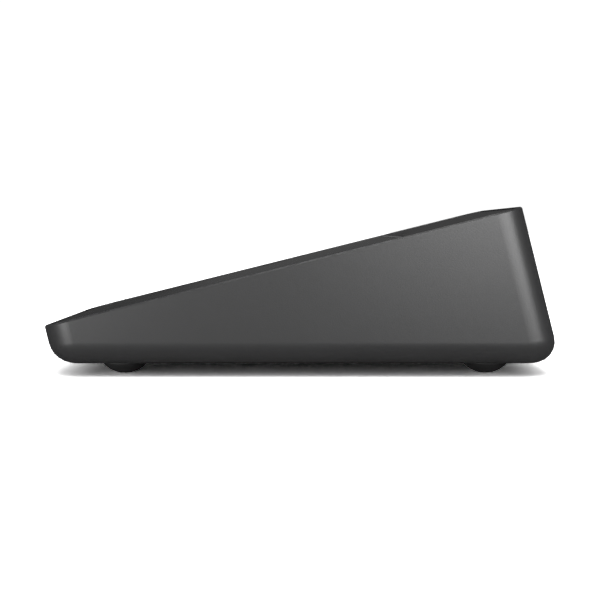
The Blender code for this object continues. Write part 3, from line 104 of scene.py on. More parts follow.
# ---- node trees -----------------------------------------------------------------------------------
class Value:
    """A number that varies over a surface or a shape. Arithmetic on it adds Math nodes."""

    def __init__(self, tree, socket):
        self.tree = tree
        self.socket = socket

    def math(self, operation, *others):
        return self.tree.math(operation, self, *others)

    def __add__(self, other):
        return self.math("ADD", other)

    def __sub__(self, other):
        return self.math("SUBTRACT", other)

    def __rsub__(self, other):
        return self.tree.math("SUBTRACT", other, self)

    def __mul__(self, other):
        return self.math("MULTIPLY", other)

    def __truediv__(self, other):
        return self.math("DIVIDE", other)

    def __abs__(self):
        return self.math("ABSOLUTE")

    __radd__ = __add__
    __rmul__ = __mul__


class Tree:
    """A node tree, for a material or for a shape."""

    def __init__(self, nodes):
        self.nodes = nodes

    def node(self, kind, settings=None, **sockets):
        """Adds a node: its settings first, then the values or links of its sockets."""
        made = self.nodes.nodes.new(kind)
        for key, value in (settings or {}).items():
            setattr(made, key, value)
        for key, value in sockets.items():
            self.feed(made.inputs[key.replace("_", " ")], value)
        return made

    def feed(self, socket, value):
        """Links or sets one input."""
        if isinstance(value, (Value, bpy.types.NodeSocket)):
            self.nodes.links.new(getattr(value, "socket", value), socket)
        else:
            socket.default_value = value

    def math(self, operation, *inputs):
        made = self.node("ShaderNodeMath", {"operation": operation})
        for socket, value in zip(made.inputs, inputs):
            self.feed(socket, value)
        return Value(self, made.outputs[0])


class Finish(Tree):
    """A material."""

    def __init__(self, name):
        self.material = bpy.data.materials.new(name)
        self.material.use_nodes = True
        super().__init__(self.material.node_tree)
        self.nodes.nodes.clear()
        self.output = self.nodes.nodes.new("ShaderNodeOutputMaterial")
        self.place = self.node("ShaderNodeTexCoord").outputs["Object"]

    def axes(self, vector=None):
        """The three numbers of a vector, the place on the object by default."""
        made = self.node("ShaderNodeSeparateXYZ", Vector=vector or self.place)
        return [Value(self, made.outputs[i]) for i in range(3)]

    def top_axes(self):
        """The place in the sloping top's frame: across, along, and out of the top."""
        x, y, z = self.axes()
        y, z = y - FRONT_EDGE.y, z - FRONT_EDGE.z
        c, s = math.cos(SLOPE), math.sin(SLOPE)
        return x, y * c + z * s, z * c - y * s

    def stretched(self, x, y, z):
        """The place with each axis scaled, for streaks."""
        return self.node("ShaderNodeMapping", None, Vector=self.place, Scale=(x, y, z)).outputs[0]

    def noise(self, scale, detail=2.0, roughness=0.5, vector=None):
        made = self.node("ShaderNodeTexNoise", None, Vector=vector or self.place, Scale=scale,
                         Detail=detail, Roughness=roughness)
        return Value(self, made.outputs["Fac"])

    def cells(self, scale, vector=None):
        made = self.node("ShaderNodeTexVoronoi", None, Vector=vector or self.place, Scale=scale)
        return Value(self, made.outputs["Distance"])

    def step(self, value, low, high):
        """Rises smoothly from 0 at low to 1 at high."""
        made = self.node("ShaderNodeMapRange", {"interpolation_type": "SMOOTHSTEP"})
        for socket, number in zip(made.inputs, (value, low, high, 0.0, 1.0)):
            self.feed(socket, number)
        return Value(self, made.outputs[0])

    def lines(self, value, pitch, share):
        """1 on parallel lines that fill a share of the pitch."""
        off = abs(self.math("FRACT", value / pitch) - 0.5) * 2.0
        return 1 - self.step(off, share - 0.12, share + 0.12)

    def inside(self, value, low, high, soft):
        """1 between low and high."""
        return self.step(value, low - soft, low + soft) * (1 - self.step(value, high - soft, high + soft))

    def blend(self, factor, low, high):
        """Mixes two colours."""
        made = self.node("ShaderNodeMix", {"data_type": "RGBA"})
        for socket, value in zip((made.inputs[0], made.inputs[6], made.inputs[7]), (factor, low, high)):
            self.feed(socket, (*value, 1.0) if isinstance(value, tuple) and len(value) == 3 else value)
        return made.outputs[2]

    def bump(self, height, depth, normal=None):
        made = self.node("ShaderNodeBump", None, Height=height, Distance=depth)
        if normal is not None:
            self.feed(made.inputs["Normal"], normal)
        return made.outputs[0]

    def surface(self, colour, roughness, normal=None, **constants):
        """Ends the material in one Principled BSDF."""
        made = self.node("ShaderNodeBsdfPrincipled", None, Base_Color=colour, Roughness=roughness,
                         **constants)
        if normal is not None:
            self.feed(made.inputs["Normal"], normal)
        self.nodes.links.new(made.outputs[0], self.output.inputs["Surface"])
        return self.material

    def mixed(self, factor, low, high):
        """Mixes two shaders."""
        made = self.node("ShaderNodeMixShader")
        for socket, value in zip(made.inputs, (factor, low, high)):
            self.feed(socket, value)
        return made.outputs[0]

    def backdrop(self, colour, bounce):
        """A paper floor as the camera sees it, which throws less light back up at what stands on it."""
        path = self.node("ShaderNodeLightPath")
        seen = self.node("ShaderNodeBsdfDiffuse", None, Color=colour)
        thrown = self.node("ShaderNodeBsdfDiffuse", None, Color=(bounce, bounce, bounce, 1.0))
        mirrored = self.node("ShaderNodeBsdfDiffuse", None, Color=FLOOR_IN_MIRRORS)
        other = self.mixed(path.outputs["Is Glossy Ray"], thrown.outputs[0], mirrored.outputs[0])
        floor = self.mixed(path.outputs["Is Camera Ray"], other, seen.outputs[0])
        self.nodes.links.new(floor, self.output.inputs["Surface"])
        return self.material


def tone(colour, factor):
    """A colour made lighter or darker."""
    return tuple(channel * factor for channel in tuple(colour)[:3])


# ---- finishes -------------------------------------------------------------------------------------
def moulded_grey(look):
    """Fine spark-eroded grey plastic, scuffed smoother and lighter low down, and painted lighter in patches
    along the rim: a painted highlight where the top edge catches the light, mixed with rubbed wear.
    """
    f = Finish("moulded_grey_plastic")
    grain = f.noise(look.grain_scale, 3.0, 0.6)
    pits = f.cells(look.grain_scale * 0.8)
    mottle = f.noise(38.0, 3.0, 0.5)
    x, _, z = f.axes()
    n = f.top_axes()[2]
    rim = f.step(n, -0.0008, -0.0002) * (1 - f.step(n, 0.0001, 0.0003)) * f.step(
        abs(x), RIM_INNER_X - 0.0002, RIM_INNER_X)
    # The rim is painted lighter in patches: a painted highlight where the top edge catches the light, mixed
    # with rubbed wear that also makes it smoother.
    rim_highlight_and_wear = rim * f.step(f.noise(310.0, 4.0, 0.6), 0.40, 0.62)
    scuffs = f.noise(230.0, 4.0, 0.7, f.stretched(1.0, 0.25, 1.6))
    low = (1 - f.step(z, 0.0055, 0.0150)) * f.step(scuffs, 0.56, 0.70)
    base = tuple(look.colour)
    colour = f.blend(mottle * 0.5 + grain * 0.5, tone(base, 0.86), tone(base, 1.16))
    colour = f.blend(rim_highlight_and_wear * 0.55, colour, tone(base, 2.1))
    colour = f.blend(low * 0.35, colour, tone(base, 1.7))
    roughness = look.roughness + (grain - 0.5) * 0.16 - rim_highlight_and_wear * 0.10 - low * 0.06
    return f.surface(colour, roughness, f.bump(grain * 0.65 + pits * 0.5, look.grain_depth))


def dark_moulding():
    """Plain black-grey plastic of the inner and small parts."""
    f = Finish("dark_moulded_plastic")
    grain = f.noise(2600.0, 3.0, 0.6)
    mottle = f.noise(60.0, 3.0, 0.5)
    flow = f.noise(120.0, 2.0, 0.5, f.stretched(0.2, 1.0, 1.0))
    colour = f.blend(mottle * 0.6 + flow * 0.4, (0.012, 0.012, 0.013), (0.024, 0.024, 0.026))
    return f.surface(colour, 0.46 + (grain - 0.5) * 0.2 + (flow - 0.5) * 0.1, f.bump(grain, 0.00002))


def black_glass(look):
    """Tempered glass printed black behind its border, with a clear window over the display."""
    f = Finish("black_printed_glass")
    x, u, _ = f.top_axes()
    window = f.inside(abs(x), -1.0, look.window_half_width, 0.0001) * f.inside(
        u, look.window_front, look.window_rear, 0.0001)
    smears = f.step(f.noise(34.0, 4.0, 0.6, f.stretched(1.0, 0.6, 1.0)), 0.48, 0.72)
    prints = f.step(f.noise(900.0, 2.0, 0.5), 0.35, 0.65)
    colour = f.blend(window, (0.0035, 0.0035, 0.0038), (0.0085, 0.0092, 0.0110))
    colour = f.blend(smears * 0.10, colour, (0.045, 0.045, 0.045))
    return f.surface(colour, look.roughness + smears * prints * 0.10 + smears * 0.04, IOR=1.5)


def display_sheet():
    """A switched-off liquid crystal panel under its polariser."""
    f = Finish("display_polariser")
    x, u, _ = f.top_axes()
    rows = f.lines(u, 0.00012, 0.5) * 0.5 + f.lines(x, 0.00012, 0.5) * 0.5
    colour = f.blend(rows * 0.4 + f.noise(20.0) * 0.3, (0.006, 0.007, 0.010), (0.014, 0.016, 0.022))
    return f.surface(colour, 0.22 + f.noise(700.0) * 0.12)


def foot_rubber():
    """Soft black rubber, greyed by dust where it stands."""
    f = Finish("foot_rubber")
    z = f.axes()[2]
    grain = f.noise(1900.0, 4.0, 0.65)
    dust = (1 - f.step(z, 0.0001, 0.0022)) * f.step(f.noise(420.0, 3.0, 0.6), 0.35, 0.75)
    colour = f.blend(f.noise(150.0, 3.0), (0.0075, 0.0075, 0.0078), (0.0125, 0.0125, 0.0128))
    colour = f.blend(dust * 0.5, colour, (0.050, 0.047, 0.043))
    return f.surface(colour, 0.62 + grain * 0.16, f.bump(grain, 0.00003))


def roller_rubber():
    """The platen's ground rubber, with fine turning marks."""
    f = Finish("roller_rubber")
    x = f.axes()[0]
    marks = f.lines(x + f.noise(90.0) * 0.0004, 0.00040, 0.5)
    colour = f.blend(marks * 0.5 + f.noise(70.0) * 0.5, (0.014, 0.015, 0.016), (0.028, 0.029, 0.031))
    return f.surface(colour, 0.55 + marks * 0.10, f.bump(marks, 0.00001))


def steel(name, colour, roughness, streaks):
    """Metal with rolling or turning streaks along one axis and a little tarnish."""
    f = Finish(name)
    brushed = f.noise(650.0, 4.0, 0.7, f.stretched(*streaks))
    tarnish = f.noise(170.0, 4.0, 0.6)
    shade = f.blend(brushed * 0.6 + tarnish * 0.4, tone(colour, 0.74), tone(colour, 1.16))
    return f.surface(shade, roughness + (brushed - 0.5) * 0.18 + f.step(tarnish, 0.5, 0.75) * 0.10,
                     f.bump(brushed, 0.00001), Metallic=1.0)


def white_nylon():
    """Slightly waxy moulded nylon."""
    f = Finish("white_nylon")
    grain = f.noise(1500.0, 3.0, 0.6)
    colour = f.blend(f.noise(130.0, 3.0) * 0.7 + grain * 0.3, (0.62, 0.60, 0.54), (0.76, 0.75, 0.70))
    return f.surface(colour, 0.38 + (grain - 0.5) * 0.14, f.bump(grain, 0.00001))


def receipt_paper(node):
    """Thermal paper wound into a roll: fine rings on both ends, faint fibres and a loose end."""
    f = Finish("receipt_paper")
    low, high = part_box(node)
    centre = (low + high) / 2
    x, y, z = f.axes()
    y, z = y - centre.y, z - centre.z
    radius = f.math("SQRT", y * y + z * z)
    wobble = f.noise(45.0, 2.0) * 0.0004
    rings = f.lines(radius + wobble, 0.00042, 0.35) * 0.6 + f.lines(radius + wobble * 1.7, 0.0019, 0.2) * 0.4
    ends = f.step(abs(x), high.x - 0.0004, high.x - 0.0001)
    fibres = f.noise(1200.0, 4.0, 0.7, f.stretched(0.4, 1.0, 1.0))
    colour = f.blend(fibres, (0.80, 0.80, 0.78), (0.90, 0.90, 0.885))
    colour = f.blend(ends * rings * 0.6, colour, (0.47, 0.46, 0.44))
    return f.surface(colour, 0.58 + fibres * 0.16, f.bump(ends * rings + fibres * 0.2, 0.00004))


def cardboard():
    """Grey-brown wound board of the roll's core."""
    f = Finish("core_board")
    fibres = f.noise(900.0, 5.0, 0.75, f.stretched(0.35, 1.0, 1.0))
    flecks = f.step(f.noise(1500.0, 2.0), 0.62, 0.72)
    colour = f.blend(fibres, (0.26, 0.18, 0.11), (0.46, 0.35, 0.24))
    colour = f.blend(flecks * 0.6, colour, (0.16, 0.11, 0.07))
    return f.surface(colour, 0.86 - fibres * 0.1, f.bump(fibres, 0.00006))


def circuit_green():
    """Green solder mask over copper tracks, with tinned pads."""
    f = Finish("green_circuit_board")
    x, u, _ = f.top_axes()
    across = f.lines(u, 0.0009, 0.34) * f.step(f.noise(90.0, 1.0), 0.50, 0.52)
    along = f.lines(x, 0.0009, 0.34) * f.step(f.noise(110.0, 1.0), 0.53, 0.55)
    tracks = f.math("MAXIMUM", across, along)
    pads = 1 - f.step(f.cells(420.0), 0.20, 0.24)
    colour = f.blend(f.noise(60.0), (0.010, 0.085, 0.035), (0.016, 0.120, 0.050))
    colour = f.blend(tracks * 0.7, colour, (0.030, 0.200, 0.085))
    colour = f.blend(pads, colour, (0.62, 0.60, 0.56))
    return f.surface(colour, 0.34 - pads * 0.06 + f.noise(800.0) * 0.08,
                     f.bump(f.math("MAXIMUM", tracks, pads), 0.00003), Coat_Weight=0.3)


def amber_film():
    """Clear amber film over copper conductors."""
    f = Finish("amber_flexible_film")
    x, u, _ = f.top_axes()
    conductors = f.lines(x, 0.0007, 0.5)
    colour = f.blend(f.noise(140.0, 3.0), (0.36, 0.15, 0.020), (0.50, 0.23, 0.035))
    colour = f.blend(conductors * 0.6, colour, (0.55, 0.26, 0.11))
    return f.surface(colour, 0.28 + f.noise(500.0) * 0.16, f.bump(conductors, 0.00002))


def battery_wrap(node):
    """Blue shrink wrap with darker heat-sealed ends and a pale plain band."""
    f = Finish("battery_shrink_wrap")
    low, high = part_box(node)
    y = f.axes()[1]
    wrinkles = f.noise(160.0, 3.0, 0.6, f.stretched(1.0, 0.25, 1.0))
    sealed = 1 - f.inside(y, low.y + 0.003, high.y - 0.003, 0.0008)
    band = f.inside(y, low.y + 0.012, low.y + 0.018, 0.0001)
    colour = f.blend(wrinkles, (0.018, 0.065, 0.190), (0.030, 0.095, 0.260))
    colour = f.blend(sealed * 0.6, colour, (0.010, 0.030, 0.090))
    colour = f.blend(band, colour, (0.55, 0.57, 0.60))
    return f.surface(colour, 0.34 + wrinkles * 0.14, f.bump(wrinkles, 0.00012))


def ceramic_head():
    """White glazed ceramic with the heater line's dark strip near its top edge."""
    f = Finish("glazed_ceramic")
    _, _, n = f.top_axes()
    line = f.inside(n, *HEATER_LINE, 0.0001)
    speckle = f.noise(1400.0, 3.0)
    colour = f.blend(speckle, (0.66, 0.66, 0.63), (0.78, 0.78, 0.75))
    colour = f.blend(line, colour, (0.09, 0.075, 0.06))
    return f.surface(colour, 0.20 + speckle * 0.10, f.bump(line, 0.00003), Coat_Weight=0.4)


# ---- shapes ---------------------------------------------------------------------------------------
def add_piece(name, mesh, material, body, slot, *replaced):
    """Puts a finished mesh in the scene, on its body and with its finish."""
    mesh.materials.clear()
    mesh.materials.append(material)
    piece = bpy.data.objects.new(name, mesh)
    bpy.context.scene.collection.objects.link(piece)
    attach(piece, body)
    if replaced:
        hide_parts(*replaced)
    return piece


def flat_mesh(name, modified):
    """The mesh that an object's modifiers give; the object itself is removed."""
    graph = bpy.context.evaluated_depsgraph_get()
    mesh = bpy.data.meshes.new_from_object(modified.evaluated_get(graph), depsgraph=graph)
    mesh.name = name
    bpy.data.objects.remove(modified)
    return mesh


def smoothed(name, node, material, edge=0.0, crease=34.0):
    """A copy of a frame piece with smooth curves, and with softened edges if edge isn't 0."""
    bm = bmesh.new()
    bm.from_mesh(NODES[node].data)
    bmesh.ops.remove_doubles(bm, verts=bm.verts, dist=WELD)
    bmesh.ops.dissolve_limit(bm, angle_limit=FLAT_ANGLE, verts=bm.verts, edges=bm.edges)
    mesh = bpy.data.meshes.new(name + "_copy")
    bm.to_mesh(mesh)
    bm.free()
    mesh.shade_smooth()
    mesh.set_sharp_from_angle(angle=math.radians(crease))
    copy = bpy.data.objects.new(name + "_copy", mesh)
    bpy.context.scene.collection.objects.link(copy)
    if edge:
        bevel = copy.modifiers.new("softened_edges", "BEVEL")
        bevel.width = edge
        bevel.segments = 2
        bevel.limit_method = "ANGLE"
        bevel.angle_limit = math.radians(crease)
        bevel.use_clamp_overlap = True
    normals = copy.modifiers.new("even_shading", "WEIGHTED_NORMAL")
    normals.keep_sharp = not edge
    return add_piece(name, flat_mesh(name, copy), material, BODY_OF[node], SLOT_OF[node], node)


def paint(material, *nodes):
    """Gives frame pieces their finish."""
    for node in nodes:
        for place in NODES[node].material_slots:
            place.material = material


def turned(profile, sides):
    """A closed solid of revolution about z from (radius, height) pairs."""
    return ringed([[point] * sides for point in profile])


def ringed(rings):
    """A closed solid about z from rings of (radius, height) pairs. A ring of radius 0 is one point."""
    bm = bmesh.new()
    sides = len(rings[0])
    angles = [2 * math.pi * i / sides for i in range(sides)]
    rows = []
    for ring in rings:
        if ring[0][0] == 0:
            rows.append([bm.verts.new((0, 0, ring[0][1]))] * sides)
        else:
            rows.append([bm.verts.new((radius * math.cos(angle), radius * math.sin(angle), height))
                         for angle, (radius, height) in zip(angles, ring)])
    for low, high in zip(rows, rows[1:]):
        for i in range(sides):
            j = (i + 1) % sides
            corners = list(dict.fromkeys((low[i], low[j], high[j], high[i])))
            if len(corners) > 2:
                bm.faces.new(corners)
    bmesh.ops.recalc_face_normals(bm, faces=bm.faces)
    return bm


class Pattern(Tree):
    """A geometry node tree with named sizes, which repeats a piece."""

    def __init__(self, name, sizes):
        group = bpy.data.node_groups.new(name, "GeometryNodeTree")
        super().__init__(group)
        face = group.interface
        face.new_socket("Geometry", in_out="INPUT", socket_type="NodeSocketGeometry")
        face.new_socket("Geometry", in_out="OUTPUT", socket_type="NodeSocketGeometry")
        self.keys = {}
        kinds = {**sizes, "Piece": "NodeSocketObject", "Material": "NodeSocketMaterial"}
        for label, kind in kinds.items():
            self.keys[label] = face.new_socket(label, in_out="INPUT", socket_type=kind).identifier
        self.entry = group.nodes.new("NodeGroupInput")
        self.exit = group.nodes.new("NodeGroupOutput")

    def size(self, label):
        return Value(self, self.entry.outputs[label])

    def repeat_on(self, points):
        """Puts the piece on every point and ends the tree."""
        piece = self.node("GeometryNodeObjectInfo", None, Object=self.entry.outputs["Piece"])
        copies = self.node("GeometryNodeInstanceOnPoints", None, Points=points,
                           Instance=piece.outputs["Geometry"])
        solid = self.node("GeometryNodeRealizeInstances", None, Geometry=copies.outputs[0])
        done = self.node("GeometryNodeSetMaterial", None, Geometry=solid.outputs[0],
                         Material=self.entry.outputs["Material"])
        self.nodes.links.new(done.outputs[0], self.exit.inputs[0])

    def mesh(self, name, **values):
        """Runs the tree with these input values and returns a plain mesh."""
        carrier = bpy.data.objects.new(name + "_carrier", bpy.data.meshes.new(name + "_carrier"))
        bpy.context.scene.collection.objects.link(carrier)
        modifier = carrier.modifiers.new(name, "NODES")
        modifier.node_group = self.nodes
        for label, value in values.items():
            modifier[self.keys[label.replace("_", " ")]] = value
        return flat_mesh(name, carrier)


def corners_pattern():
    """Two by two pieces, centred on a point on the length."""
    tree = Pattern("corners", {"Across": "NodeSocketFloat", "Along": "NodeSocketFloat",
                               "Middle": "NodeSocketFloat", "Height": "NodeSocketFloat"})
    grid = tree.node("GeometryNodeMeshGrid", None, Size_X=tree.size("Across"), Size_Y=tree.size("Along"),
                     Vertices_X=2, Vertices_Y=2)
    offset = tree.node("ShaderNodeCombineXYZ", None, Y=tree.size("Middle"), Z=tree.size("Height"))
    moved = tree.node("GeometryNodeSetPosition", None, Geometry=grid.outputs[0], Offset=offset.outputs[0])
    tree.repeat_on(moved.outputs[0])
    return tree


def template(name, bm, crease=30.0):
    """An unlinked object that a pattern repeats."""
    mesh = bpy.data.meshes.new(name)
    bm.to_mesh(mesh)
    bm.free()
    mesh.shade_smooth()
    mesh.set_sharp_from_angle(angle=math.radians(crease))
    return bpy.data.objects.new(name, mesh)


def middle(node):
    """The middle of a frame piece's box."""
    low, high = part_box(node)
    return (low + high) / 2


def rounded_profile(profile, radius, steps=4):
    """Rounds the corners of a (radius, height) profile, apart from its ends on the axis."""
    rounded = [profile[0]]
    for before, corner, after in zip(profile, profile[1:], profile[2:]):
        a, b, c = Vector(before), Vector(corner), Vector(after)
        reach = min(radius, (a - b).length * 0.45, (c - b).length * 0.45)
        start, end = b + (a - b).normalized() * reach, b + (c - b).normalized() * reach
        for i in range(steps + 1):
            t = i / steps
            rounded.append(tuple(start * (1 - t) ** 2 + b * 2 * t * (1 - t) + end * t ** 2))
    return rounded + [profile[-1]]


def drive_head(profile, star, depth, sides=72):
    """A turned screw whose head, at the profile's end, has a six-lobed socket sunk into it."""
    *body, rim, _ = profile
    socket = [(share, 0.0) for share in (1.0, 0.985)] + [(share, depth) for share in (0.965, 0.5, 0.0)]
    rings = [[point] * sides for point in (*body, rim)]
    for share, sunk in socket:
        rings.append([(share * star * (1 + LOBE_DEPTH * math.cos(LOBES * 2 * math.pi * i / sides)),
                       rim[1] - sunk) for i in range(sides)])
    return ringed(rings)


# ---- settings -------------------------------------------------------------------------------------
class HousingLook(bpy.types.PropertyGroup):
    """The moulded grey of the housing, the printer cover and the battery door."""

    colour: FloatVectorProperty(name="Colour", description="Grey of the moulded plastic", size=3,
                                subtype="COLOR", min=0.0, max=1.0, default=(0.036, 0.036, 0.037))
    roughness: FloatProperty(name="Roughness", description="How matt the plastic is", default=0.38,
                             min=0.0, max=1.0, subtype="FACTOR")
    grain_scale: FloatProperty(name="Grain per metre", description="How fine the moulded grain is",
                               default=3000.0, min=100.0)
    grain_depth: FloatProperty(name="Grain depth", description="Depth of the moulded grain",
                               default=0.000022, min=0.0, subtype="DISTANCE", unit="LENGTH")
    edge: FloatProperty(name="Edge rounding", description="Rounding of the loose parts' moulded edges",
                        default=0.00015, min=0.0, subtype="DISTANCE", unit="LENGTH")


class GlassLook(bpy.types.PropertyGroup):
    """The printed glass over the display."""

    roughness: FloatProperty(name="Roughness", description="How much the glass blurs reflections",
                             default=0.07, min=0.0, max=1.0, subtype="FACTOR")
    window_half_width: FloatProperty(
        name="Window half width", description="Half the width of the clear window",
        default=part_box("display_panel")[1].x - WINDOW_INSET, subtype="DISTANCE", unit="LENGTH")
    window_front: FloatProperty(name="Window front", description="Where the window starts along the top",
                                default=0.0075, subtype="DISTANCE", unit="LENGTH")
    window_rear: FloatProperty(name="Window rear", description="Where the window ends along the top",
                               default=0.1305, subtype="DISTANCE", unit="LENGTH")


class FootLook(bpy.types.PropertyGroup):
    """The domed rubber feet."""

    dome: FloatProperty(name="Dome radius", description="Radius of the foot's rounded underside",
                        default=0.0112, subtype="DISTANCE", unit="LENGTH")
    flat: FloatProperty(name="Flat radius", description="Radius of the spot that the foot stands on",
                        default=0.0030, subtype="DISTANCE", unit="LENGTH")
    sides: IntProperty(name="Sides", description="Steps round each foot", default=64, min=16)


class ScrewLook(bpy.types.PropertyGroup):
    """The screws in the base."""

    shank: FloatProperty(name="Shank radius", description="Radius below the head", default=0.0011,
                         subtype="DISTANCE", unit="LENGTH")
    head: FloatProperty(name="Head height", description="Height of a housing screw's head", default=0.0014,
                        subtype="DISTANCE", unit="LENGTH")
    drive: FloatProperty(name="Socket radius", description="Size of the six-lobed socket", default=0.0012,
                         subtype="DISTANCE", unit="LENGTH")
    drive_depth: FloatProperty(name="Socket depth", description="Depth of the six-lobed socket",
                               default=0.0008, subtype="DISTANCE", unit="LENGTH")
    metal: FloatVectorProperty(name="Metal", description="Colour of the zinc plate", size=3, subtype="COLOR",
                               min=0.0, max=1.0, default=(0.42, 0.42, 0.43))


class StageLook(bpy.types.PropertyGroup):
    """Floor, backdrop, lights and camera."""

    floor: FloatVectorProperty(name="Floor", description="Brightness of the floor, over 1 where it is to "
                               "bleach out to white", size=3, default=(2.4, 2.4, 2.4), min=0.0)
    bounce: FloatProperty(name="Bounce", description="Share of the light that the floor throws back up",
                          default=0.95, min=0.0, max=1.0)
    surround: FloatProperty(name="Surround", description="Strength of the even light from all round",
                            default=0.65, min=0.0)
    sheen: FloatProperty(name="Sheen", description="How bright the surround looks in reflections",
                         default=0.075, min=0.0)
    front: FloatProperty(name="Front softbox", description="Power of the low softbox ahead of the terminal",
                         default=9.0, min=0.0, subtype="POWER", unit="POWER")
    rear: FloatProperty(name="Rear softbox", description="Power of the upright softbox behind the terminal",
                        default=11.0, min=0.0, subtype="POWER", unit="POWER")
    overhead: FloatProperty(name="Overhead", description="Power of the light above", default=5.0,
                            min=0.0, subtype="POWER", unit="POWER")
    distance: FloatProperty(name="Camera distance", description="From the middle of the terminal",
                            default=0.3463, subtype="DISTANCE", unit="LENGTH")
    height: FloatProperty(name="Camera height", description="Above the floor", default=0.0546,
                          subtype="DISTANCE", unit="LENGTH")
    focal: FloatProperty(name="Focal length", description="Of the camera's lens", default=50.0,
                         subtype="DISTANCE_CAMERA", unit="CAMERA")


# ---- operators ------------------------------------------------------------------------------------
class TERMINAL_OT_housing(bpy.types.Operator):
    """Finish the housing and the battery door"""

    bl_idname = "terminal.housing"
    bl_label = "Housing"

    def execute(self, context):
        look = context.scene.terminal_housing
        grey = moulded_grey(look)
        smoothed("housing_shell", "housing", grey)
        smoothed("battery_hatch", "battery_door", grey, look.edge)
        smoothed("printer_lid", "printer_cover", grey)
        return {"FINISHED"}


class TERMINAL_OT_glass(bpy.types.Operator):
    """Finish the glass, the display and its tray"""

    bl_idname = "terminal.glass"
    bl_label = "Glass and display"

    def execute(self, context):
        look = context.scene.terminal_glass
        smoothed("display_glass", "cover_glass", black_glass(look), 0.00012)
        paint(display_sheet(), "display_panel")
        smoothed("display_tray", "display_frame", dark_moulding())
        paint(amber_film(), "display_flex", "contactless_antenna")
        return {"FINISHED"}


class TERMINAL_OT_feet(bpy.types.Operator):
    """Make the four domed rubber feet"""

    bl_idname = "terminal.feet"
    bl_label = "Feet"

    def execute(self, context):
        look = context.scene.terminal_feet
        names = ("foot_front_left", "foot_front_right", "foot_rear_left", "foot_rear_right")
        low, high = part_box(names[0])
        radius = (high.x - low.x) / 2
        centre_z = math.sqrt(look.dome ** 2 - look.flat ** 2)
        first, last = math.asin(look.flat / look.dome), math.asin(radius / look.dome)
        steps = 16
        dome = [(look.dome * math.sin(a), centre_z - look.dome * math.cos(a))
                for a in (first + (last - first) * i / steps for i in range(steps + 1))]
        edge_z = dome[-1][1]
        profile = [(0, 0.0), *dome, (radius, edge_z + 0.0004), (radius - 0.00015, high.z), (0, high.z)]
        foot = template("foot_template", turned(profile, look.sides))
        left, right, rear = middle(names[0]), middle(names[1]), middle(names[2])
        rubber = foot_rubber()
        mesh = corners_pattern().mesh("rubber_feet", Across=right.x - left.x, Along=rear.y - left.y,
                                      Middle=(rear.y + left.y) / 2, Height=0.0, Piece=foot,
                                      Material=rubber)
        bpy.data.objects.remove(foot)
        add_piece("rubber_feet", mesh, rubber, "base", "rubber", *names)
        return {"FINISHED"}


class TERMINAL_OT_screws(bpy.types.Operator):
    """Make the screws in the base and finish the ones inside"""

    bl_idname = "terminal.screws"
    bl_label = "Screws"

    def execute(self, context):
        look = context.scene.terminal_screws
        metal = steel("zinc_plated_steel", look.metal, 0.30, (1.0, 1.0, 0.3))
        names = ("housing_screw_front_left", "housing_screw_front_right",
                 "housing_screw_rear_left", "housing_screw_rear_right")
        self.sunk_screws("base_screws", names, look, metal)
        self.sunk_screws("battery_hatch_screw", ("battery_door_screw",), look, metal)
        paint(metal, "board_screw_front_left", "board_screw_front_right",
              "board_screw_rear_left", "board_screw_rear_right")
        return {"FINISHED"}

    def sunk_screws(self, name, nodes, look, metal):
        """Pan-head screws that point up, with their sockets facing down."""
        low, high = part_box(nodes[0])
        radius = (high.x - low.x) / 2
        share = radius / HOUSING_SCREW_RADIUS
        head = look.head * share
        length = high.z - low.z
        seat = length - head
        profile = rounded_profile([(0, 0), (look.shank * 0.72, 0), (look.shank * 0.98, 0.0006),
                                   (look.shank * 0.98, seat), (radius * 0.995, seat),
                                   (radius * 0.99, seat + head * 0.45), (radius * 0.82, length),
                                   (0, length)], 0.0003)
        drive = look.drive * share
        bm = drive_head(profile[:-1] + [(drive * 1.35, length), (0, length)], drive, look.drive_depth)
        bmesh.ops.rotate(bm, verts=bm.verts, matrix=Matrix.Rotation(math.pi, 3, "X"))
        screw = template(name + "_template", bm)
        if len(nodes) == 1:
            mesh = screw.data.copy()
            mesh.transform(Matrix.Translation((middle(nodes[0]).x, middle(nodes[0]).y, high.z)))
        else:
            left, right, rear = middle(nodes[0]), middle(nodes[1]), middle(nodes[2])
            mesh = corners_pattern().mesh(name, Across=right.x - left.x, Along=rear.y - left.y,
                                          Middle=(rear.y + left.y) / 2, Height=high.z, Piece=screw,
                                          Material=metal)
        bpy.data.objects.remove(screw)
        mesh.name = name
        add_piece(name, mesh, metal, "base", "steel", *nodes)


class TERMINAL_OT_card_slot(bpy.types.Operator):
    """Finish the card slot's bezel and the reader behind it"""

    bl_idname = "terminal.card_slot"
    bl_label = "Card slot"

    def execute(self, context):
        dark = dark_moulding()
        smoothed("card_slot_lips", "card_slot_bezel", dark, 0.0001)
        paint(dark, "card_reader", "paper_sensor", "speaker")
        return {"FINISHED"}


class TERMINAL_OT_power_button(bpy.types.Operator):
    """Finish the power button and its switch"""

    bl_idname = "terminal.power_button"
    bl_label = "Power button"

    def execute(self, context):
        smoothed("power_key", "power_button", dark_moulding(), 0.0002)
        paint(circuit_green(), "power_switch")
        return {"FINISHED"}


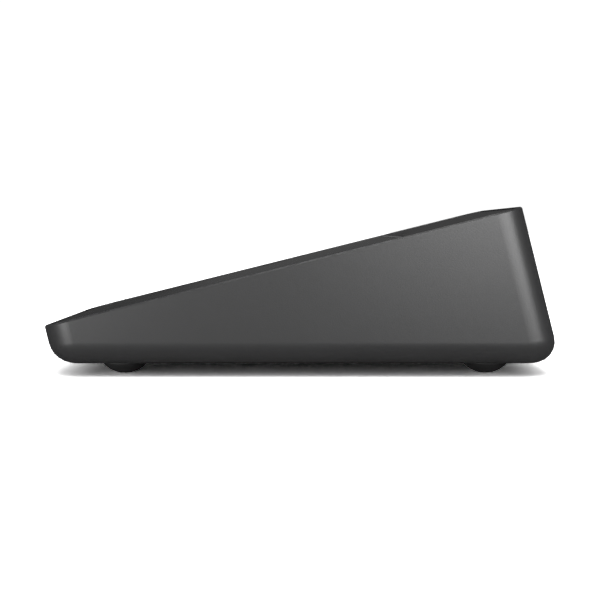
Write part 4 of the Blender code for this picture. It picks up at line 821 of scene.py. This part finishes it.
class TERMINAL_OT_printer(bpy.types.Operator):
    """Finish the printer: chassis, platen, head, tear bar, hinge pin and motor"""

    bl_idname = "terminal.printer"
    bl_label = "Printer"

    def execute(self, context):
        nylon = white_nylon()
        ground = steel("ground_steel", (0.62, 0.62, 0.63), 0.22, (0.2, 1.0, 1.0))
        smoothed("printer_tub", "printer_chassis", dark_moulding())
        smoothed("platen_sleeve", "platen_rubber", roller_rubber(), 0.0002)
        smoothed("platen_axle", "platen_shaft", ground, 0.0001)
        smoothed("hinge_rod", "hinge_pin", ground, 0.0001)
        smoothed("platen_bush_left", "platen_bushing_left", nylon, 0.0001)
        smoothed("platen_bush_right", "platen_bushing_right", nylon, 0.0001)
        can = steel("motor_steel", (0.50, 0.50, 0.51), 0.30, (1.0, 0.3, 1.0))
        smoothed("motor_can", "feed_motor", can, 0.0002)
        paint(steel("tear_bar_steel", (0.60, 0.60, 0.61), 0.26, (0.15, 1.0, 1.0)),
              "tear_bar", "head_spring_left", "head_spring_right")
        paint(ceramic_head(), "print_head")
        paint(steel("cast_aluminium", (0.70, 0.71, 0.72), 0.40, (0.4, 1.0, 1.0)), "head_heat_sink")
        paint(amber_film(), "head_flex")
        paint(nylon, "platen_gear", "first_idler_gear", "second_idler_gear", "motor_pinion")
        return {"FINISHED"}


class TERMINAL_OT_paper(bpy.types.Operator):
    """Finish the receipt roll and its core"""

    bl_idname = "terminal.paper"
    bl_label = "Receipt roll"

    def execute(self, context):
        smoothed("receipt_roll", "paper_roll", receipt_paper("paper_roll"), 0.0002)
        smoothed("receipt_core", "roll_core", cardboard())
        return {"FINISHED"}


class TERMINAL_OT_electronics(bpy.types.Operator):
    """Finish the boards, shields, cells and the charging port"""

    bl_idname = "terminal.electronics"
    bl_label = "Electronics"

    def execute(self, context):
        tinned = steel("tinned_steel", (0.66, 0.66, 0.65), 0.28, (0.5, 1.0, 1.0))
        paint(circuit_green(), "main_board", "card_reader_board", "port_board")
        paint(tinned, "processor_shield", "radio_shield")
        smoothed("backup_cell", "coin_cell", tinned, 0.0002)
        smoothed("charging_port", "usb_receptacle", tinned)
        smoothed("battery_cell", "battery_pack", battery_wrap("battery_pack"), 0.0003)
        return {"FINISHED"}


class TERMINAL_OT_stage(bpy.types.Operator):
    """Make the floor, the soft light and the camera"""

    bl_idname = "terminal.stage"
    bl_label = "Stage"

    def execute(self, context):
        look = context.scene.terminal_stage
        self.floor(look)
        self.surround(context.scene, look)
        middle_height = (CAD_BOX[0].z + CAD_BOX[1].z) / 2
        for name, (place, size, diffuse) in SOFTBOXES.items():
            self.softbox("softbox_" + name, place, size, getattr(look, name), middle_height, diffuse)
        self.camera(context.scene, look)
        return {"FINISHED"}

    def floor(self, look):
        """A plain pale sheet to stand on."""
        bm = bmesh.new()
        bmesh.ops.create_grid(bm, x_segments=8, y_segments=8, size=FLOOR_SIZE)
        mesh = bpy.data.meshes.new("pale_floor")
        bm.to_mesh(mesh)
        bm.free()
        finish = Finish("pale_floor")
        paper = finish.noise(30.0, 3.0, 0.5)
        mesh.materials.append(finish.backdrop(
            finish.blend(paper, tone(look.floor, 0.995), tone(look.floor, 1.005)), look.bounce))
        floor = bpy.data.objects.new("pale_floor", mesh)
        bpy.context.scene.collection.objects.link(floor)

    def surround(self, scene, look):
        """White behind the terminal, even light on it, and a darker room in its reflections."""
        world = bpy.data.worlds.new("studio")
        world.use_nodes = True
        world.cycles.sampling_method = "NONE"
        scene.world = world
        tree = Tree(world.node_tree)
        world.node_tree.nodes.clear()
        path = tree.node("ShaderNodeLightPath")
        camera, glossy = (Value(tree, path.outputs[name]) for name in ("Is Camera Ray", "Is Glossy Ray"))
        elsewhere = glossy * look.sheen + (1 - glossy) * look.surround
        strength = camera * BACKDROP_STRENGTH + (1 - camera) * elsewhere
        light = tree.node("ShaderNodeBackground", None, Color=(1.0, 1.0, 1.0, 1.0), Strength=strength)
        output = tree.node("ShaderNodeOutputWorld")
        world.node_tree.links.new(light.outputs[0], output.inputs[0])

    def softbox(self, name, place, size, power, aim, diffuse):
        """A soft rectangular light, turned towards a height above the middle of the floor."""
        data = bpy.data.lights.new(name, "AREA")
        data.shape = "RECTANGLE"
        data.size, data.size_y = size
        data.energy = power
        box = bpy.data.objects.new(name, data)
        bpy.context.scene.collection.objects.link(box)
        box.location = place
        toward = Vector((0.0, 0.0, aim)) - Vector(place)
        box.rotation_euler = toward.to_track_quat("-Z", "Y").to_euler()
        box.visible_camera = False
        box.visible_diffuse = diffuse

    def camera(self, scene, look):
        data = bpy.data.cameras.new("camera")
        data.lens = look.focal
        data.sensor_width = 36.0
        data.shift_y = CAMERA_SHIFT
        data.clip_start = 0.01
        data.clip_end = 100.0
        camera = bpy.data.objects.new("camera", data)
        scene.collection.objects.link(camera)
        camera.location = (look.distance, CAMERA_Y, look.height)
        camera.rotation_euler = (math.pi / 2, 0.0, math.pi / 2)
        scene.camera = camera
        scene.view_settings.view_transform = "Standard"
        scene.view_settings.look = "None"


LOOKS = {"terminal_housing": HousingLook, "terminal_glass": GlassLook, "terminal_feet": FootLook,
         "terminal_screws": ScrewLook, "terminal_stage": StageLook}
OPERATORS = (TERMINAL_OT_housing, TERMINAL_OT_glass, TERMINAL_OT_feet, TERMINAL_OT_screws,
             TERMINAL_OT_card_slot, TERMINAL_OT_power_button, TERMINAL_OT_printer, TERMINAL_OT_paper,
             TERMINAL_OT_electronics, TERMINAL_OT_stage)


class TERMINAL_PT_build(bpy.types.Panel):
    """Lists the terminal's pieces with their settings"""

    bl_idname = "TERMINAL_PT_build"
    bl_label = "Card payment terminal"
    bl_space_type = "VIEW_3D"
    bl_region_type = "UI"
    bl_category = "Terminal"

    def draw(self, context):
        for key in LOOKS:
            box = self.layout.box()
            look = getattr(context.scene, key)
            for name in LOOKS[key].__annotations__:
                box.prop(look, name)
        for operator in OPERATORS:
            self.layout.operator(operator.bl_idname)


def register():
    for item in (*LOOKS.values(), *OPERATORS, TERMINAL_PT_build):
        bpy.utils.register_class(item)
    for key, kind in LOOKS.items():
        setattr(bpy.types.Scene, key, PointerProperty(type=kind))


def unregister():
    for key in LOOKS:
        delattr(bpy.types.Scene, key)
    for item in reversed((*LOOKS.values(), *OPERATORS, TERMINAL_PT_build)):
        bpy.utils.unregister_class(item)


def main():
    register()
    for operator in OPERATORS:
        group, name = operator.bl_idname.split(".")
        getattr(getattr(bpy.ops, group), name)()


if __name__ == "__main__":
    main()
